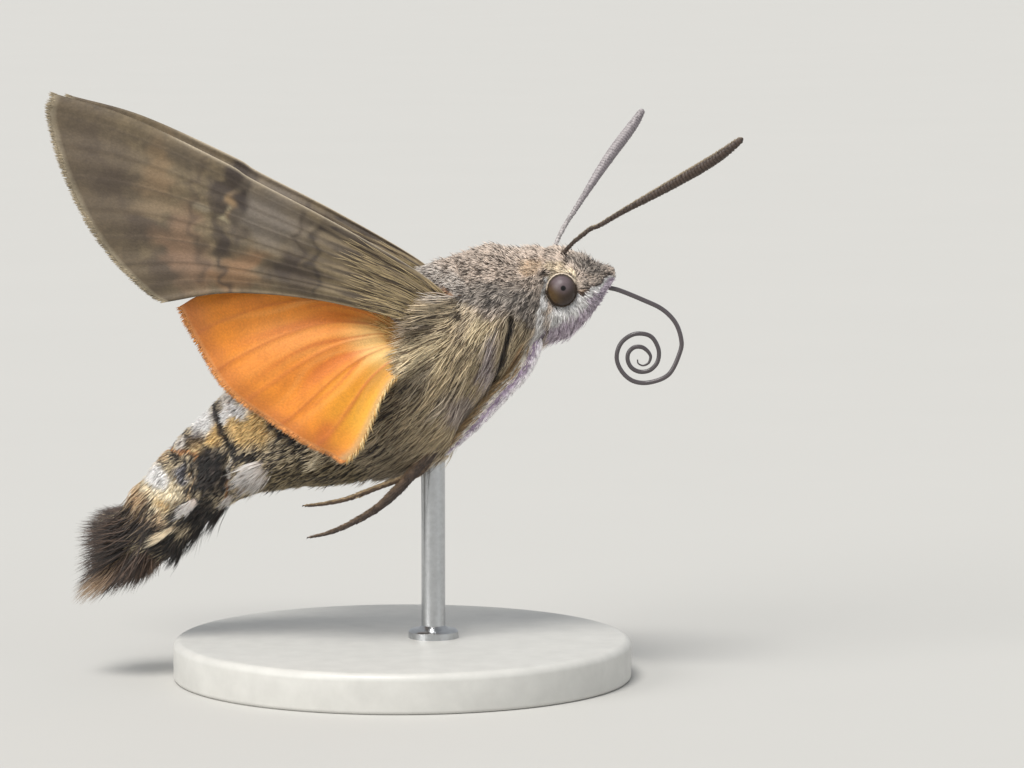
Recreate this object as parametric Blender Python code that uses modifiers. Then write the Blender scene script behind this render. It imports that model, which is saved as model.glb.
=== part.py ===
"""Hummingbird hawk moth, life size and still, on a plain display stand.

The head points to +X, the moth's right side to -Y, and +Z is up.  The origin is the middle of the
base's underside.  Every size and place below is in millimetres; meshes are scaled to metres as they
are made.
"""
import math
import random

import bmesh
import bpy
import numpy as np

MM = 0.001
GAP = 0.3                      # between touching nodes
WELD = 0.002                   # corners closer than this are joined
SIDES = 28                     # corners round the body
HEAD_SECTIONS = 13             # ovals along each length of the body
THORAX_SECTIONS = 13
ABDOMEN_SECTIONS = 7

# Body outline from the side: each ring is (back x, back z, belly x, belly z, half width).
HEAD_RINGS = (
    (10.38, 20.66, 10.50, 20.00, 0.42),
    (9.85, 20.88, 10.10, 19.20, 0.95),
    (9.20, 21.20, 9.62, 18.45, 1.32),
    (8.60, 21.50, 9.02, 17.78, 1.60),
    (7.95, 21.68, 8.30, 17.25, 1.80),
    (7.25, 21.80, 7.60, 17.02, 2.00),
    (6.55, 21.80, 7.00, 16.75, 2.20),
)
THORAX_RINGS = (
    (6.55, 21.80, 7.00, 16.75, 2.20),
    (5.50, 21.65, 5.95, 16.05, 2.75),
    (4.45, 21.88, 5.05, 15.15, 3.20),
    (3.20, 21.50, 4.05, 14.00, 3.40),
    (1.90, 21.10, 3.00, 12.85, 3.40),
    (0.60, 20.60, 2.35, 11.50, 3.30),
    (-0.70, 19.85, 1.30, 10.75, 3.20),
    (-2.00, 18.95, 0.20, 10.45, 3.15),
)
ABDOMEN_RINGS = (
    (-2.00, 18.95, 0.20, 10.45, 3.15),
    (-3.60, 17.90, -1.30, 10.10, 3.35),
    (-5.40, 16.80, -3.20, 9.78, 3.55),
    (-7.10, 15.75, -5.10, 9.60, 3.60),
    (-8.60, 14.75, -6.75, 9.35, 3.50),
    (-9.75, 13.60, -7.95, 8.95, 3.30),
    (-10.90, 12.60, -9.15, 8.35, 3.05),
    (-11.80, 11.60, -10.05, 7.60, 2.70),
    (-12.65, 10.60, -10.70, 6.95, 2.35),
    (-13.40, 9.60, -11.40, 6.35, 2.00),
    (-13.95, 8.70, -12.20, 5.95, 1.60),
)
SNOUT_TIP = (10.68, 20.36)
TAIL_CORE_TIP = (-14.30, 6.55)
ABDOMEN_CUTS = (3.3, 6.4)      # ring numbers where the abdomen is parted
# The body grown by the gap: its rings, how far short of the last one it stops, and its ovals.
CLEARANCE_LENGTHS = ((HEAD_RINGS, 0.3, 9), (THORAX_RINGS, 0.2, 13), (ABDOMEN_RINGS, 0.0, 20))

EYE_CENTRE = (7.97, -1.36, 19.70)
EYE_RADIUS = 0.85
EYE_SOCKET = 0.25              # clear space round the eyeball
EYE_SEGMENTS = 16
EYE_BANDS = 10
PALP_TOP_FRONT = (10.75, 20.10)
PALP_TOP_BACK = (6.60, 17.20)
PALP_BLOCK_DEPTH = 6.0
PALP_BLOCK_ENDS = 3.0          # the block runs past the line's ends by this
PALP_BLOCK_HALF_WIDTH = 4.0
SIDE_BLOCK = (40.0, 8.0, 80.0)  # length, width and height of the block that keeps one palp

# Forewing outline of the right side, from the root outwards (x, y, z).
FORE_COSTA = ((2.60, -2.2, 19.00), (2.05, -3.2, 19.75), (0.49, -3.9, 21.03), (-3.39, -4.8, 23.36),
              (-7.16, -5.4, 25.41), (-8.41, -5.6, 26.20), (-13.04, -5.95, 28.45), (-16.76, -6.0, 29.62))
FORE_MARGIN = ((-16.76, -6.0, 29.62), (-16.95, -5.95, 28.31), (-16.01, -5.85, 25.17),
               (-14.38, -5.65, 22.15), (-12.32, -5.45, 19.95), (-11.44, -5.4, 19.39))
FORE_DORSUM = ((1.30, -2.2, 17.95), (0.55, -3.7, 18.15), (-0.58, -4.4, 18.62), (-4.48, -4.9, 19.52),
               (-8.40, -5.2, 19.82), (-11.44, -5.4, 19.39))
FORE_VEINS = (0.08, 0.20, 0.34, 0.48, 0.62, 0.76, 0.89)
# Hindwing outline of the right side.
HIND_COSTA = ((1.40, -2.2, 17.20), (0.20, -2.85, 17.75), (-0.99, -3.25, 18.75), (-3.93, -3.75, 20.20),
              (-6.87, -4.0, 20.35), (-9.57, -4.1, 19.72), (-10.80, -4.1, 19.08))
HIND_MARGIN = ((-10.80, -4.1, 19.08), (-10.22, -4.15, 17.85), (-8.46, -4.3, 15.05),
               (-5.41, -4.55, 12.91), (-2.70, -4.85, 11.46))
HIND_INNER = ((1.20, -2.2, 15.80), (0.50, -3.9, 16.40), (0.06, -4.7, 16.00), (-0.82, -4.95, 14.78),
              (-1.91, -4.95, 12.31), (-2.70, -4.85, 11.46))
HIND_VEINS = (0.14, 0.32, 0.50, 0.68, 0.86)
MEMBRANE = 0.50                # wing thickness
VEIN_HEIGHT = 0.13             # ridge above the membrane, on each face
VEIN_HALF_WIDTH = 0.022        # as a share of the wing's fan
WING_STEPS = 10
LAST_STEP = 0.96               # share of the span where the thin outer edge starts
THIN_EDGE = 0.55               # thickness at the edges, as a share of the membrane's
COSTA_PLACE = 0.02             # the leading vein, as a share of the wing's fan
COSTA_THICKNESS = 1.3          # as a share of the membrane's
EDGE_POINTS = 40               # along each edge of a wing

# Feelers, each posed by itself, from the root outwards.
ANTENNA_RIGHT = ((7.80, -0.60, 20.80), (8.60, -1.28, 22.11), (9.61, -1.77, 22.88), (10.73, -2.29, 23.59),
                 (12.97, -3.29, 24.80), (15.18, -4.34, 26.22), (16.25, -4.85, 26.98), (16.75, -5.15, 27.49))
ANTENNA_LEFT = ((7.35, 0.60, 20.90), (7.78, 1.35, 21.90), (8.16, 2.16, 22.59), (8.77, 3.21, 23.44),
                (10.32, 5.83, 25.61), (11.65, 7.87, 27.25), (12.02, 8.45, 27.75), (12.24, 8.85, 28.08))
ANTENNA_RADII = (0.25, 0.25, 0.25, 0.26, 0.27, 0.29, 0.22, 0.06)
FEELER_POINTS = 18
THINNEST = 0.03                # smallest radius at a tip

# Tongue: the free stretch, then the coil about its centre.
TONGUE_FREE = ((9.55, 19.85), (10.30, 19.64), (10.89, 19.49), (12.04, 19.02), (12.99, 18.56),
               (13.64, 17.91), (13.94, 17.11), (13.92, 16.43))
COIL_CENTRE = (11.90, 16.12)
COIL_RADII = (2.03, 1.67, 1.34, 1.22, 1.14, 1.17, 1.20, 1.22, 1.20, 1.02, 0.90, 0.80, 0.71,
              0.66, 0.63, 0.63, 0.60, 0.54, 0.48)
COIL_STEP = 38.0               # degrees between those radii
COIL_START = 9.0
TONGUE_ROOT_RADIUS = 0.24
TONGUE_TIP_RADIUS = 0.10
TONGUE_TAPER = 1.6             # how early the tongue grows thin
TONGUE_POINTS = 52

# Legs of the right side, from inside the body to the claw.
FORELEG = ((5.70, -0.70, 16.90), (6.55, -0.78, 16.10), (6.10, -0.82, 15.35), (5.40, -0.85, 14.60),
           (4.65, -0.90, 13.75), (3.95, -0.95, 12.95), (3.25, -1.00, 12.25))
FORELEG_RADII = (0.26, 0.28, 0.28, 0.27, 0.25, 0.20, 0.10)
MIDLEG = ((4.10, -1.60, 14.20), (3.55, -2.30, 12.60), (2.30, -2.60, 11.75), (0.69, -2.60, 10.79),
          (-0.06, -2.50, 10.18), (-1.45, -2.40, 8.86), (-3.05, -2.30, 7.90), (-4.64, -2.20, 7.33))
MIDLEG_RADII = (0.30, 0.30, 0.30, 0.27, 0.26, 0.23, 0.18, 0.07)
HINDLEG = ((2.00, -1.20, 12.60), (1.10, -1.75, 10.75), (0.13, -1.90, 10.30), (-1.46, -1.80, 9.72),
           (-2.81, -1.70, 9.22), (-3.96, -1.65, 8.98), (-4.86, -1.60, 8.88))
HINDLEG_RADII = (0.27, 0.27, 0.26, 0.24, 0.22, 0.17, 0.08)
# Each pair of legs: route, radii, and how much lower the left leg hangs along its outer half.
LEGS = (("foreleg", FORELEG, FORELEG_RADII, 0.0), ("midleg", MIDLEG, MIDLEG_RADII, 0.58),
        ("hindleg", HINDLEG, HINDLEG_RADII, 0.44))
LEG_POINTS = 13
LEFT_WING_DROP = 1.1           # degrees that the left wings are lowered about their roots

# Long hair of the flanks, as flat locks in rows from the shoulder to the belly.
FLANK_ROWS = (0.84, 0.95, 1.06, 1.17, 1.28, 1.39)   # angles round the body, in half turns
FLANK_RINGS = (1.0, 6.3)       # first and last ring with roots
FLANK_COLUMNS = 7
FLANK_LENGTH = 3.1
FLANK_VARIATION = 0.12         # share by which the locks' lengths differ
FLANK_SHORTER = (0.75, 0.55)   # shares tried where a full lock would touch something
LOCK_WIDTH = 0.95
LOCK_TAPER = (0.75, 1.0, 0.7)  # width from the root outwards, as shares of the lock's width
LOCK_THICKNESSES = (0.46, 0.46, 0.322)
LOCK_STEPS = 4
LOCK_SINK = 0.22               # root below the skin
LOCK_LIFT = 0.42               # tip above the skin
LIE_FRONT = 10.0               # lie of the hair, degrees back from straight down, at the breast
LIE_BACK = 62.0                # and at the waist
LIE_X = (6.3, -1.0)            # where those two hold
CLEAR_OF_LOCKS = 0.75          # from a lock's middle line to the middle of a leg, rod or wing root
LAST_LOCK_RING = 6.72          # locks end before this ring of the thorax
HAIRLESS_BEHIND = (1.7, 14.6)  # no locks where the hindwing lies close: x below, z above
WING_ROOT_SHARE = 0.3          # share of a wing's edges that locks keep clear of
KEEP_CLEAR_POINTS = 60         # along each edge, and a quarter of that along a leg or the rod

# Brushes at the sides of the abdomen: ring number, angle in half turns, length, lift, locks.
SIDE_TUFTS = ((3.75, 1.17, 2.35, 0.95, 5), (5.00, 1.10, 1.70, 0.60, 3), (5.55, 1.34, 1.20, 0.60, 2),
              (6.75, 1.19, 1.70, 0.75, 4), (8.00, 1.17, 2.00, 0.60, 4))
TUFT_SPREAD = 34.0             # degrees between a brush's outer locks
TUFT_FOOT = 0.10               # half turns between the roots of a brush's outer locks
TUFT_WIDTHS = (0.55, 0.70, 0.50)
TUFT_THICKNESSES = (0.46, 0.46, 0.34)
TUFT_FALL = 14.0               # degrees that a brush points below the body's own line

# Tail brush: tilt above the body's end line, locks, half spread to the sides, reach from its middle.
TAIL_CENTRE = (-12.90, 7.50)
TAIL_AIM = (-16.45, 4.60)
TAIL_ROWS = ((62.0, 3, 28.0, 2.70), (43.0, 4, 38.0, 3.30), (25.0, 5, 46.0, 3.75), (9.0, 4, 42.0, 3.95),
             (-4.0, 3, 13.0, 5.05), (-15.0, 4, 38.0, 4.25), (-31.0, 5, 44.0, 3.50), (-52.0, 3, 30.0, 2.90))
TAIL_ROOT = 0.60               # from the middle to where the locks start
TAIL_BENDS = (0.5, 0.82)       # shares of the reach where a lock has its other sections
TAIL_WIDTHS = (0.70, 1.35, 1.215)
TAIL_THICKNESSES = (0.46, 0.46, 0.36)

BASE_RADIUS = 11.5
BASE_HEIGHT = 2.0
BASE_ROUNDING = 0.4
BASE_SEGMENTS = 48
ROD_X = 1.55
ROD_RADIUS = 0.60
ROD_TOP = 14.0                 # inside the body, which trims the rod

random.seed(17)


def material(name, colour, roughness, metallic=0.0):
    """A plain surface in one colour."""
    mat = bpy.data.materials.new(name)
    mat.use_nodes = True
    shader = mat.node_tree.nodes["Principled BSDF"]
    shader.inputs["Base Color"].default_value = (*colour, 1.0)
    shader.inputs["Roughness"].default_value = roughness
    shader.inputs["Metallic"].default_value = metallic
    return mat


def new_object(name, points, faces, mat, collection):
    """A mesh object from points in millimetres."""
    mesh = bpy.data.meshes.new(name)
    mesh.from_pydata([tuple(p) for p in np.asarray(points) * MM], [], [tuple(f) for f in faces])
    mesh.validate()
    mesh.materials.append(mat)
    mesh.shade_smooth()
    obj = bpy.data.objects.new(name, mesh)
    collection.objects.link(obj)
    return obj


def spline_at(points, s):
    """The point at number s, whole or not, of a smooth curve through the given points and past its ends."""
    pts = np.asarray(points, dtype=float)
    ext = np.vstack((2 * pts[0] - pts[1], pts, 2 * pts[-1] - pts[-2]))
    i = min(max(int(s), 0), len(pts) - 2)
    f = s - i
    a, b, c, d = ext[i:i + 4]
    return 0.5 * (2 * b + (c - a) * f + (2 * a - 5 * b + 4 * c - d) * f ** 2
                  + (3 * b - a - 3 * c + d) * f ** 3)


def spline(points, count):
    """Points evenly numbered along a smooth curve through the given ones."""
    return np.array([spline_at(points, t) for t in np.linspace(0, len(points) - 1, count)])


def even(points, count):
    """The same smooth curve with its points equally far apart."""
    fine = spline(points, 200)
    run = np.concatenate(([0.0], np.cumsum(np.linalg.norm(np.diff(fine, axis=0), axis=1))))
    where = np.linspace(0, run[-1], count)
    return np.stack([np.interp(where, run, fine[:, k]) for k in range(fine.shape[1])], axis=1)


def bake(obj):
    """Replaces an object's mesh by what its modifiers make of it."""
    depsgraph = bpy.context.evaluated_depsgraph_get()
    mesh = bpy.data.meshes.new_from_object(obj.evaluated_get(depsgraph))
    obj.modifiers.clear()
    obj.data = mesh


def keep_largest(obj):
    """Drops every loose piece but the one with most volume."""
    bm = bmesh.new()
    bm.from_mesh(obj.data)
    bm.faces.ensure_lookup_table()
    left = set(bm.faces)
    groups = []
    while left:
        seed = left.pop()
        group = {seed}
        edge = [seed]
        while edge:
            face = edge.pop()
            for e in face.edges:
                for other in e.link_faces:
                    if other in left:
                        left.discard(other)
                        group.add(other)
                        edge.append(other)
        groups.append(group)
    if len(groups) > 1:
        def size(group):
            total = 0.0
            for face in group:
                v = face.verts
                for k in range(1, len(v) - 1):
                    total += v[0].co.dot(v[k].co.cross(v[k + 1].co))
            return total
        groups.sort(key=size)
        scrap = [f for g in groups[:-1] for f in g]
        bmesh.ops.delete(bm, geom=scrap, context="FACES")
    bm.to_mesh(obj.data)
    bm.free()


def outside(obj):
    """Turns the faces of a closed mesh outwards."""
    bm = bmesh.new()
    bm.from_mesh(obj.data)
    bmesh.ops.recalc_face_normals(bm, faces=bm.faces)
    bm.to_mesh(obj.data)
    bm.free()


def combine(obj, others, operation, solver="EXACT"):
    """Joins or cuts an object with a set of closed ones and takes the result as its mesh."""
    group = bpy.data.collections.new("joining")
    scene.collection.children.link(group)
    for other in others:
        group.objects.link(other)
    mod = obj.modifiers.new("boolean", "BOOLEAN")
    mod.operation = operation
    mod.operand_type = "COLLECTION"
    mod.collection = group
    mod.solver = solver
    bake(obj)
    bpy.data.collections.remove(group)
    keep_largest(obj)


def remove(objects):
    for obj in objects:
        bpy.data.objects.remove(obj)


def tube(name, path, radii, mat, collection, points):
    """A round tapering tube along a smooth path, as one closed mesh."""
    route = even(path, points)
    thick = spline(np.asarray(radii, dtype=float)[:, None], points)[:, 0]
    curve = bpy.data.curves.new(name, "CURVE")
    curve.dimensions = "3D"
    curve.bevel_depth = MM
    curve.bevel_resolution = 2
    curve.use_fill_caps = True
    line = curve.splines.new("POLY")
    line.points.add(points - 1)
    for spot, place, radius in zip(line.points, route, thick):
        spot.co = (*(place * MM), 1.0)
        spot.radius = max(radius, THINNEST)
    wire = bpy.data.objects.new(name + "_path", curve)
    collection.objects.link(wire)
    depsgraph = bpy.context.evaluated_depsgraph_get()
    mesh = bpy.data.meshes.new_from_object(wire.evaluated_get(depsgraph))
    mesh.name = name
    bm = bmesh.new()
    bm.from_mesh(mesh)
    bmesh.ops.remove_doubles(bm, verts=bm.verts, dist=WELD * MM)
    bmesh.ops.triangulate(bm, faces=bm.faces)
    bm.to_mesh(mesh)
    bm.free()
    mesh.materials.clear()
    mesh.materials.append(mat)
    mesh.shade_smooth()
    obj = bpy.data.objects.new(name, mesh)
    obj.matrix_world = wire.matrix_world
    collection.objects.link(obj)
    bpy.data.objects.remove(wire)
    return obj


# Body

def ring_frame(rings, s):
    """Centre, half height along the back-to-belly line, and half width at ring number s."""
    row = spline_at(rings, s)
    back = np.array((row[0], 0.0, row[1]))
    belly = np.array((row[2], 0.0, row[3]))
    return (back + belly) / 2, (back - belly) / 2, row[4]


def ring_points(rings, s, grow=0.0, shift=0.0):
    """An oval of points round the body; shift moves it towards the tail."""
    centre, half, width = ring_frame(rings, s)
    height = np.linalg.norm(half)
    up = half / height
    back = np.array((-up[2], 0.0, up[0]))
    angle = 2 * math.pi * np.arange(SIDES) / SIDES
    across = (width + grow) * np.cos(angle)
    along = (height + grow) * np.sin(angle)
    place = centre + shift * back
    return place + across[:, None] * np.array((0.0, 1.0, 0.0)) + along[:, None] * up


def loft(name, sections, front, rear, mat, collection):
    """Closed surface through ovals ordered from the head to the tail, between two end points."""
    sides = len(sections[0])
    points = np.vstack(sections + [[front], [rear]])
    head, tail = len(points) - 2, len(points) - 1
    faces = []
    for r in range(len(sections) - 1):
        for k in range(sides):
            a, b = r * sides + k, r * sides + (k + 1) % sides
            c, d = a + sides, b + sides
            faces += [(a, c, b), (b, c, d)]
    last = (len(sections) - 1) * sides
    for k in range(sides):
        faces.append((head, k, (k + 1) % sides))
        faces.append((tail, last + (k + 1) % sides, last + k))
    obj = new_object(name, points, faces, mat, collection)
    outside(obj)
    return obj


def body_length(name, rings, start, stop, count, mat, tip_front=None, tip_rear=None):
    """The body between two ring numbers, cut flat at an end that has no tip."""
    where = np.linspace(start, stop, count)
    sections = []
    for k, s in enumerate(where):
        shift = 0.0
        if k == 0 and tip_front is None:
            shift = GAP / 2
        if k == count - 1 and tip_rear is None:
            shift = -GAP / 2
        sections.append(ring_points(rings, s, shift=shift))
    front = (tip_front[0], 0.0, tip_front[1]) if tip_front else sections[0].mean(axis=0)
    rear = (tip_rear[0], 0.0, tip_rear[1]) if tip_rear else sections[-1].mean(axis=0)
    return loft(name, sections, front, rear, mat, model)


# Hair

def skin(rings, s, angle, height):
    """A point at a height over the body's surface; the angle is in half turns from the left side."""
    centre, half, width = ring_frame(rings, s)
    tall = np.linalg.norm(half)
    turn = math.pi * angle
    return (centre + np.array((0.0, 1.0, 0.0)) * (width + height) * math.cos(turn)
            + half / tall * (tall + height) * math.sin(turn))


def lock_mesh(name, path, outward, widths, thicks):
    """A flat lock: four-cornered sections along a path, closed at the root and drawn to a tip."""
    points = []
    for k in range(len(path) - 1):
        run = path[k + 1] - path[max(k - 1, 0)]
        side = np.cross(run, outward[k])
        side /= np.linalg.norm(side)
        flat = np.cross(side, run)
        flat /= np.linalg.norm(flat)
        points += [path[k] - side * widths[k] / 2, path[k] + flat * thicks[k] / 2,
                   path[k] + side * widths[k] / 2, path[k] - flat * thicks[k] / 2]
    tip = len(points)
    points.append(path[-1])
    faces = [(0, 1, 2), (0, 2, 3)]
    for k in range(0, tip - 4, 4):
        for a in range(4):
            b = (a + 1) % 4
            faces += [(k + a, k + 4 + a, k + b), (k + b, k + 4 + a, k + 4 + b)]
    faces += [(tip - 4 + a, tip, tip - 4 + (a + 1) % 4) for a in range(4)]
    obj = new_object(name, points, faces, fur_grey, cutters)
    outside(obj)
    return obj


def lie_on_skin(rings, s, angle, flow, length, lift):
    """Middle line and outward directions of a lock that starts under the skin and follows it."""
    path, outward = [], []
    small = 0.02
    for k in range(LOCK_STEPS):
        share = k / (LOCK_STEPS - 1)
        height = -LOCK_SINK + (lift + LOCK_SINK) * share ** 0.8
        place = skin(rings, s, angle, height)
        along = (skin(rings, s + small, angle, height) - place) / small
        round_ = (skin(rings, s, angle + small, height) - place) / small
        out = np.cross(along, round_)
        out /= np.linalg.norm(out)
        if np.dot(out, skin(rings, s, angle, height + 1.0) - place) < 0:
            out = -out
        path.append(place)
        outward.append(out)
        aim = flow - out * np.dot(flow, out)
        aim *= length / (LOCK_STEPS - 1) / np.linalg.norm(aim)
        move = np.linalg.lstsq(np.stack((along, round_), axis=1), aim, rcond=None)[0]
        s += move[0]
        angle += move[1]
    return path, outward, s


def flank_flow(x):
    """The lie of the flank's hair: straight down at the breast, slanting back at the waist."""
    share = min(max((LIE_X[0] - x) / (LIE_X[0] - LIE_X[1]), 0.0), 1.0)
    slant = math.radians(LIE_FRONT + (LIE_BACK - LIE_FRONT) * share)
    return np.array((-math.sin(slant), 0.0, -math.cos(slant)))


def leg_route(path, drop, side):
    """A leg's middle line on one side; side is -1 on the left, where its outer half hangs lower."""
    route = np.array(path)
    route[:, 1] *= side
    if side < 0:
        route[:, 2] -= drop * np.minimum(2.0 * np.linspace(0.0, 1.0, len(route)), 1.0)
    return route


def keep_out():
    """Middle lines that no lock may come near: both sides' legs, the wings' roots and the rod."""
    few = KEEP_CLEAR_POINTS // 4
    root = int(KEEP_CLEAR_POINTS * WING_ROOT_SHARE)
    lines = []
    for _, path, _, drop in LEGS:
        lines.append(even(path, few))
        lines.append(even(leg_route(path, drop, -1) * (1.0, -1.0, 1.0), few))
    for path in (FORE_COSTA, FORE_DORSUM, HIND_COSTA, HIND_INNER):
        lines.append(even(path, KEEP_CLEAR_POINTS)[:root])
    lines.append(even(((ROD_X, 0.0, BASE_HEIGHT), (ROD_X, 0.0, ROD_TOP)), few))
    return np.vstack(lines)


def grow_flank(body):
    """Joins the rows of locks to both flanks of the thorax."""
    kept_clear = keep_out()
    locks = []
    for row, angle in enumerate(FLANK_ROWS):
        for column in range(FLANK_COLUMNS):
            share = (column + 0.5 * (row % 2)) / (FLANK_COLUMNS - 0.5)
            s = FLANK_RINGS[0] + (FLANK_RINGS[1] - FLANK_RINGS[0]) * share
            start = skin(THORAX_RINGS, s, angle, 0.0)
            lift = LOCK_LIFT * random.uniform(0.85, 1.15)
            width = LOCK_WIDTH * random.uniform(0.9, 1.1)
            full = random.uniform(1.0 - FLANK_VARIATION, 1.0 + FLANK_VARIATION)
            for share in (full, *FLANK_SHORTER):
                path, outward, end = lie_on_skin(THORAX_RINGS, s, angle, flank_flow(start[0]),
                                                 FLANK_LENGTH * share, lift)
                far = np.linalg.norm(np.array(path)[:, None] - kept_clear[None], axis=2).min()
                hidden = any(p[0] < HAIRLESS_BEHIND[0] and p[2] > HAIRLESS_BEHIND[1] for p in path)
                fits = far > CLEAR_OF_LOCKS and not hidden and end < LAST_LOCK_RING
                if fits:
                    break
            if not fits:
                continue
            for side in (1, -1):
                turn = np.array((1.0, side, 1.0))
                locks.append(lock_mesh("lock", [p * turn for p in path], [o * turn for o in outward],
                                       [width * share for share in LOCK_TAPER], LOCK_THICKNESSES))
    combine(body, locks, "UNION", "MANIFOLD")
    remove(locks)


def side_tufts(start, stop):
    """The side brushes rooted between two ring numbers of the abdomen."""
    locks = []
    for s, angle, length, lift, count in SIDE_TUFTS:
        if not start < s < stop:
            continue
        ahead = skin(ABDOMEN_RINGS, s + 0.3, angle, 0.0) - skin(ABDOMEN_RINGS, s, angle, 0.0)
        heading = math.atan2(ahead[2], ahead[0])
        for k in range(count):
            fan = (k / (count - 1) - 0.5) * TUFT_SPREAD + TUFT_FALL
            aim = heading + math.radians(fan)
            flow = np.array((math.cos(aim), 0.0, math.sin(aim)))
            shift = (k / (count - 1) - 0.5) * TUFT_FOOT
            path, outward, _ = lie_on_skin(ABDOMEN_RINGS, s, angle + shift, flow,
                                           length * random.uniform(0.85, 1.1), lift)
            for side in (1, -1):
                turn = np.array((1.0, side, 1.0))
                locks.append(lock_mesh("lock", [p * turn for p in path], [o * turn for o in outward],
                                       TUFT_WIDTHS, TUFT_THICKNESSES))
    return locks


def tail_brush():
    """Flat locks that fan out from the body's end in tiers."""
    centre = np.array((TAIL_CENTRE[0], 0.0, TAIL_CENTRE[1]))
    line = np.array((TAIL_AIM[0], 0.0, TAIL_AIM[1])) - centre
    heading = math.atan2(line[2], line[0])
    axis = line / np.linalg.norm(line)
    locks = []
    for tilt, count, spread, reach in TAIL_ROWS:
        pitch = heading - math.radians(tilt)
        for k in range(count):
            yaw = math.radians((2 * k / (count - 1) - 1) * spread)
            aim = np.array((math.cos(pitch) * math.cos(yaw), math.sin(yaw),
                            math.sin(pitch) * math.cos(yaw)))
            flat = aim - axis * np.dot(aim, axis)
            flat /= np.linalg.norm(flat)
            length = reach * random.uniform(0.95, 1.03)
            reaches = [TAIL_ROOT] + [length * share for share in TAIL_BENDS] + [length]
            path = [centre + aim * r for r in reaches]
            locks.append(lock_mesh("lock", path, [flat] * len(path), TAIL_WIDTHS, TAIL_THICKNESSES))
    return locks


def clearance_body():
    """The whole body grown by the gap, which trims whatever is set against it."""
    sections = []
    for rings, short, count in CLEARANCE_LENGTHS:
        where = np.linspace(0, len(rings) - 1 - short, count)
        sections += [ring_points(rings, s, grow=GAP) for s in where]
    front = (SNOUT_TIP[0] + GAP, 0.0, SNOUT_TIP[1])
    rear = (TAIL_CORE_TIP[0] - GAP, 0.0, TAIL_CORE_TIP[1] - GAP)
    return loft("clearance_body", sections, front, rear, fur_grey, cutters)


def palp_cutter():
    """Two blocks whose tops lie half a gap under and over the line from the snout to the throat."""
    ax, az = PALP_TOP_FRONT
    bx, bz = PALP_TOP_BACK
    slope = np.array((ax - bx, az - bz)) / math.hypot(ax - bx, az - bz)
    side = np.array((-slope[1], slope[0]))
    past = PALP_BLOCK_ENDS * slope
    wide = PALP_BLOCK_HALF_WIDTH
    out = []
    for lift in (-GAP / 2, GAP / 2):
        corner = [np.array((bx, bz)) - past, np.array((ax, az)) + past]
        flat = [c + side * lift for c in corner]
        flat += [c - side * PALP_BLOCK_DEPTH for c in reversed(corner)]
        points = [(p[0], y, p[1]) for y in (-wide, wide) for p in flat]
        faces = [(3, 2, 1, 0), (4, 5, 6, 7), (0, 1, 5, 4), (1, 2, 6, 5), (2, 3, 7, 6), (3, 0, 4, 7)]
        out.append(new_object("palp_block", points, faces, fur_grey, cutters))
    for obj in out:
        outside(obj)
    return out


def side_block(name, side):
    """A tall block that keeps one side of the head, half a gap from the middle plane."""
    length, width, height = SIDE_BLOCK
    near, far = -side * GAP / 2, -side * width
    bm = bmesh.new()
    bmesh.ops.create_cube(bm, size=1.0)
    mesh = bpy.data.meshes.new(name)
    for v in bm.verts:
        v.co.x *= length * MM
        v.co.z *= height * MM
        v.co.y = (min(near, far) if v.co.y < 0 else max(near, far)) * MM
    bm.to_mesh(mesh)
    bm.free()
    obj = bpy.data.objects.new(name, mesh)
    cutters.objects.link(obj)
    return obj


def copy_of(obj, name, mat):
    twin = obj.copy()
    twin.data = obj.data.copy()
    twin.name = name
    twin.data.name = name
    twin.data.materials.clear()
    twin.data.materials.append(mat)
    model.objects.link(twin)
    return twin


def ball(name, radius, side, collection):
    """An eyeball with its poles to the sides."""
    bm = bmesh.new()
    bmesh.ops.create_uvsphere(bm, u_segments=EYE_SEGMENTS, v_segments=EYE_BANDS, radius=radius * MM)
    for v in bm.verts:
        v.co.y, v.co.z = v.co.z, -v.co.y
    mesh = bpy.data.meshes.new(name)
    bm.to_mesh(mesh)
    bm.free()
    mesh.shade_smooth()
    obj = bpy.data.objects.new(name, mesh)
    obj.location = (EYE_CENTRE[0] * MM, EYE_CENTRE[1] * side * MM, EYE_CENTRE[2] * MM)
    collection.objects.link(obj)
    return obj


def build_head():
    """Head with eye sockets, and the two palps parted from it below."""
    head = body_length("head", HEAD_RINGS, 0, len(HEAD_RINGS) - 1, HEAD_SECTIONS, fur_grey,
                       tip_front=SNOUT_TIP)
    lower, upper = palp_cutter()
    for label, side in (("right", 1), ("left", -1)):
        keep = side_block("keep_" + label, side)
        palp = copy_of(head, "palp_" + label, fur_white)
        combine(palp, [lower], "INTERSECT")
        combine(palp, [keep], "INTERSECT")
        remove([keep])
    sockets = [upper]
    for side in (1, -1):
        sockets.append(ball("socket", EYE_RADIUS + EYE_SOCKET, side, cutters))
    combine(head, sockets, "DIFFERENCE")
    remove(sockets + [lower])
    for name, side in (("eye_right", 1), ("eye_left", -1)):
        eye = ball(name, EYE_RADIUS, side, model)
        eye.data.materials.append(eye_brown)


def build_body():
    """Thorax with the long hair of its flanks, and the abdomen in three lengths with its brushes."""
    thorax = body_length("thorax", THORAX_RINGS, 0, len(THORAX_RINGS) - 1, THORAX_SECTIONS, fur_grey)
    grow_flank(thorax)
    edges = (0, *ABDOMEN_CUTS, len(ABDOMEN_RINGS) - 1)
    for name, start, stop in zip(("abdomen_front", "abdomen_middle", "abdomen_rear"), edges, edges[1:]):
        tip = TAIL_CORE_TIP if name == "abdomen_rear" else None
        segment = body_length(name, ABDOMEN_RINGS, start, stop, ABDOMEN_SECTIONS, fur_dark,
                              tip_rear=tip)
        hair = side_tufts(start, stop)
        if tip:
            hair += tail_brush()
        if hair:
            combine(segment, hair, "UNION", "MANIFOLD")
            remove(hair)


# Wings

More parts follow.
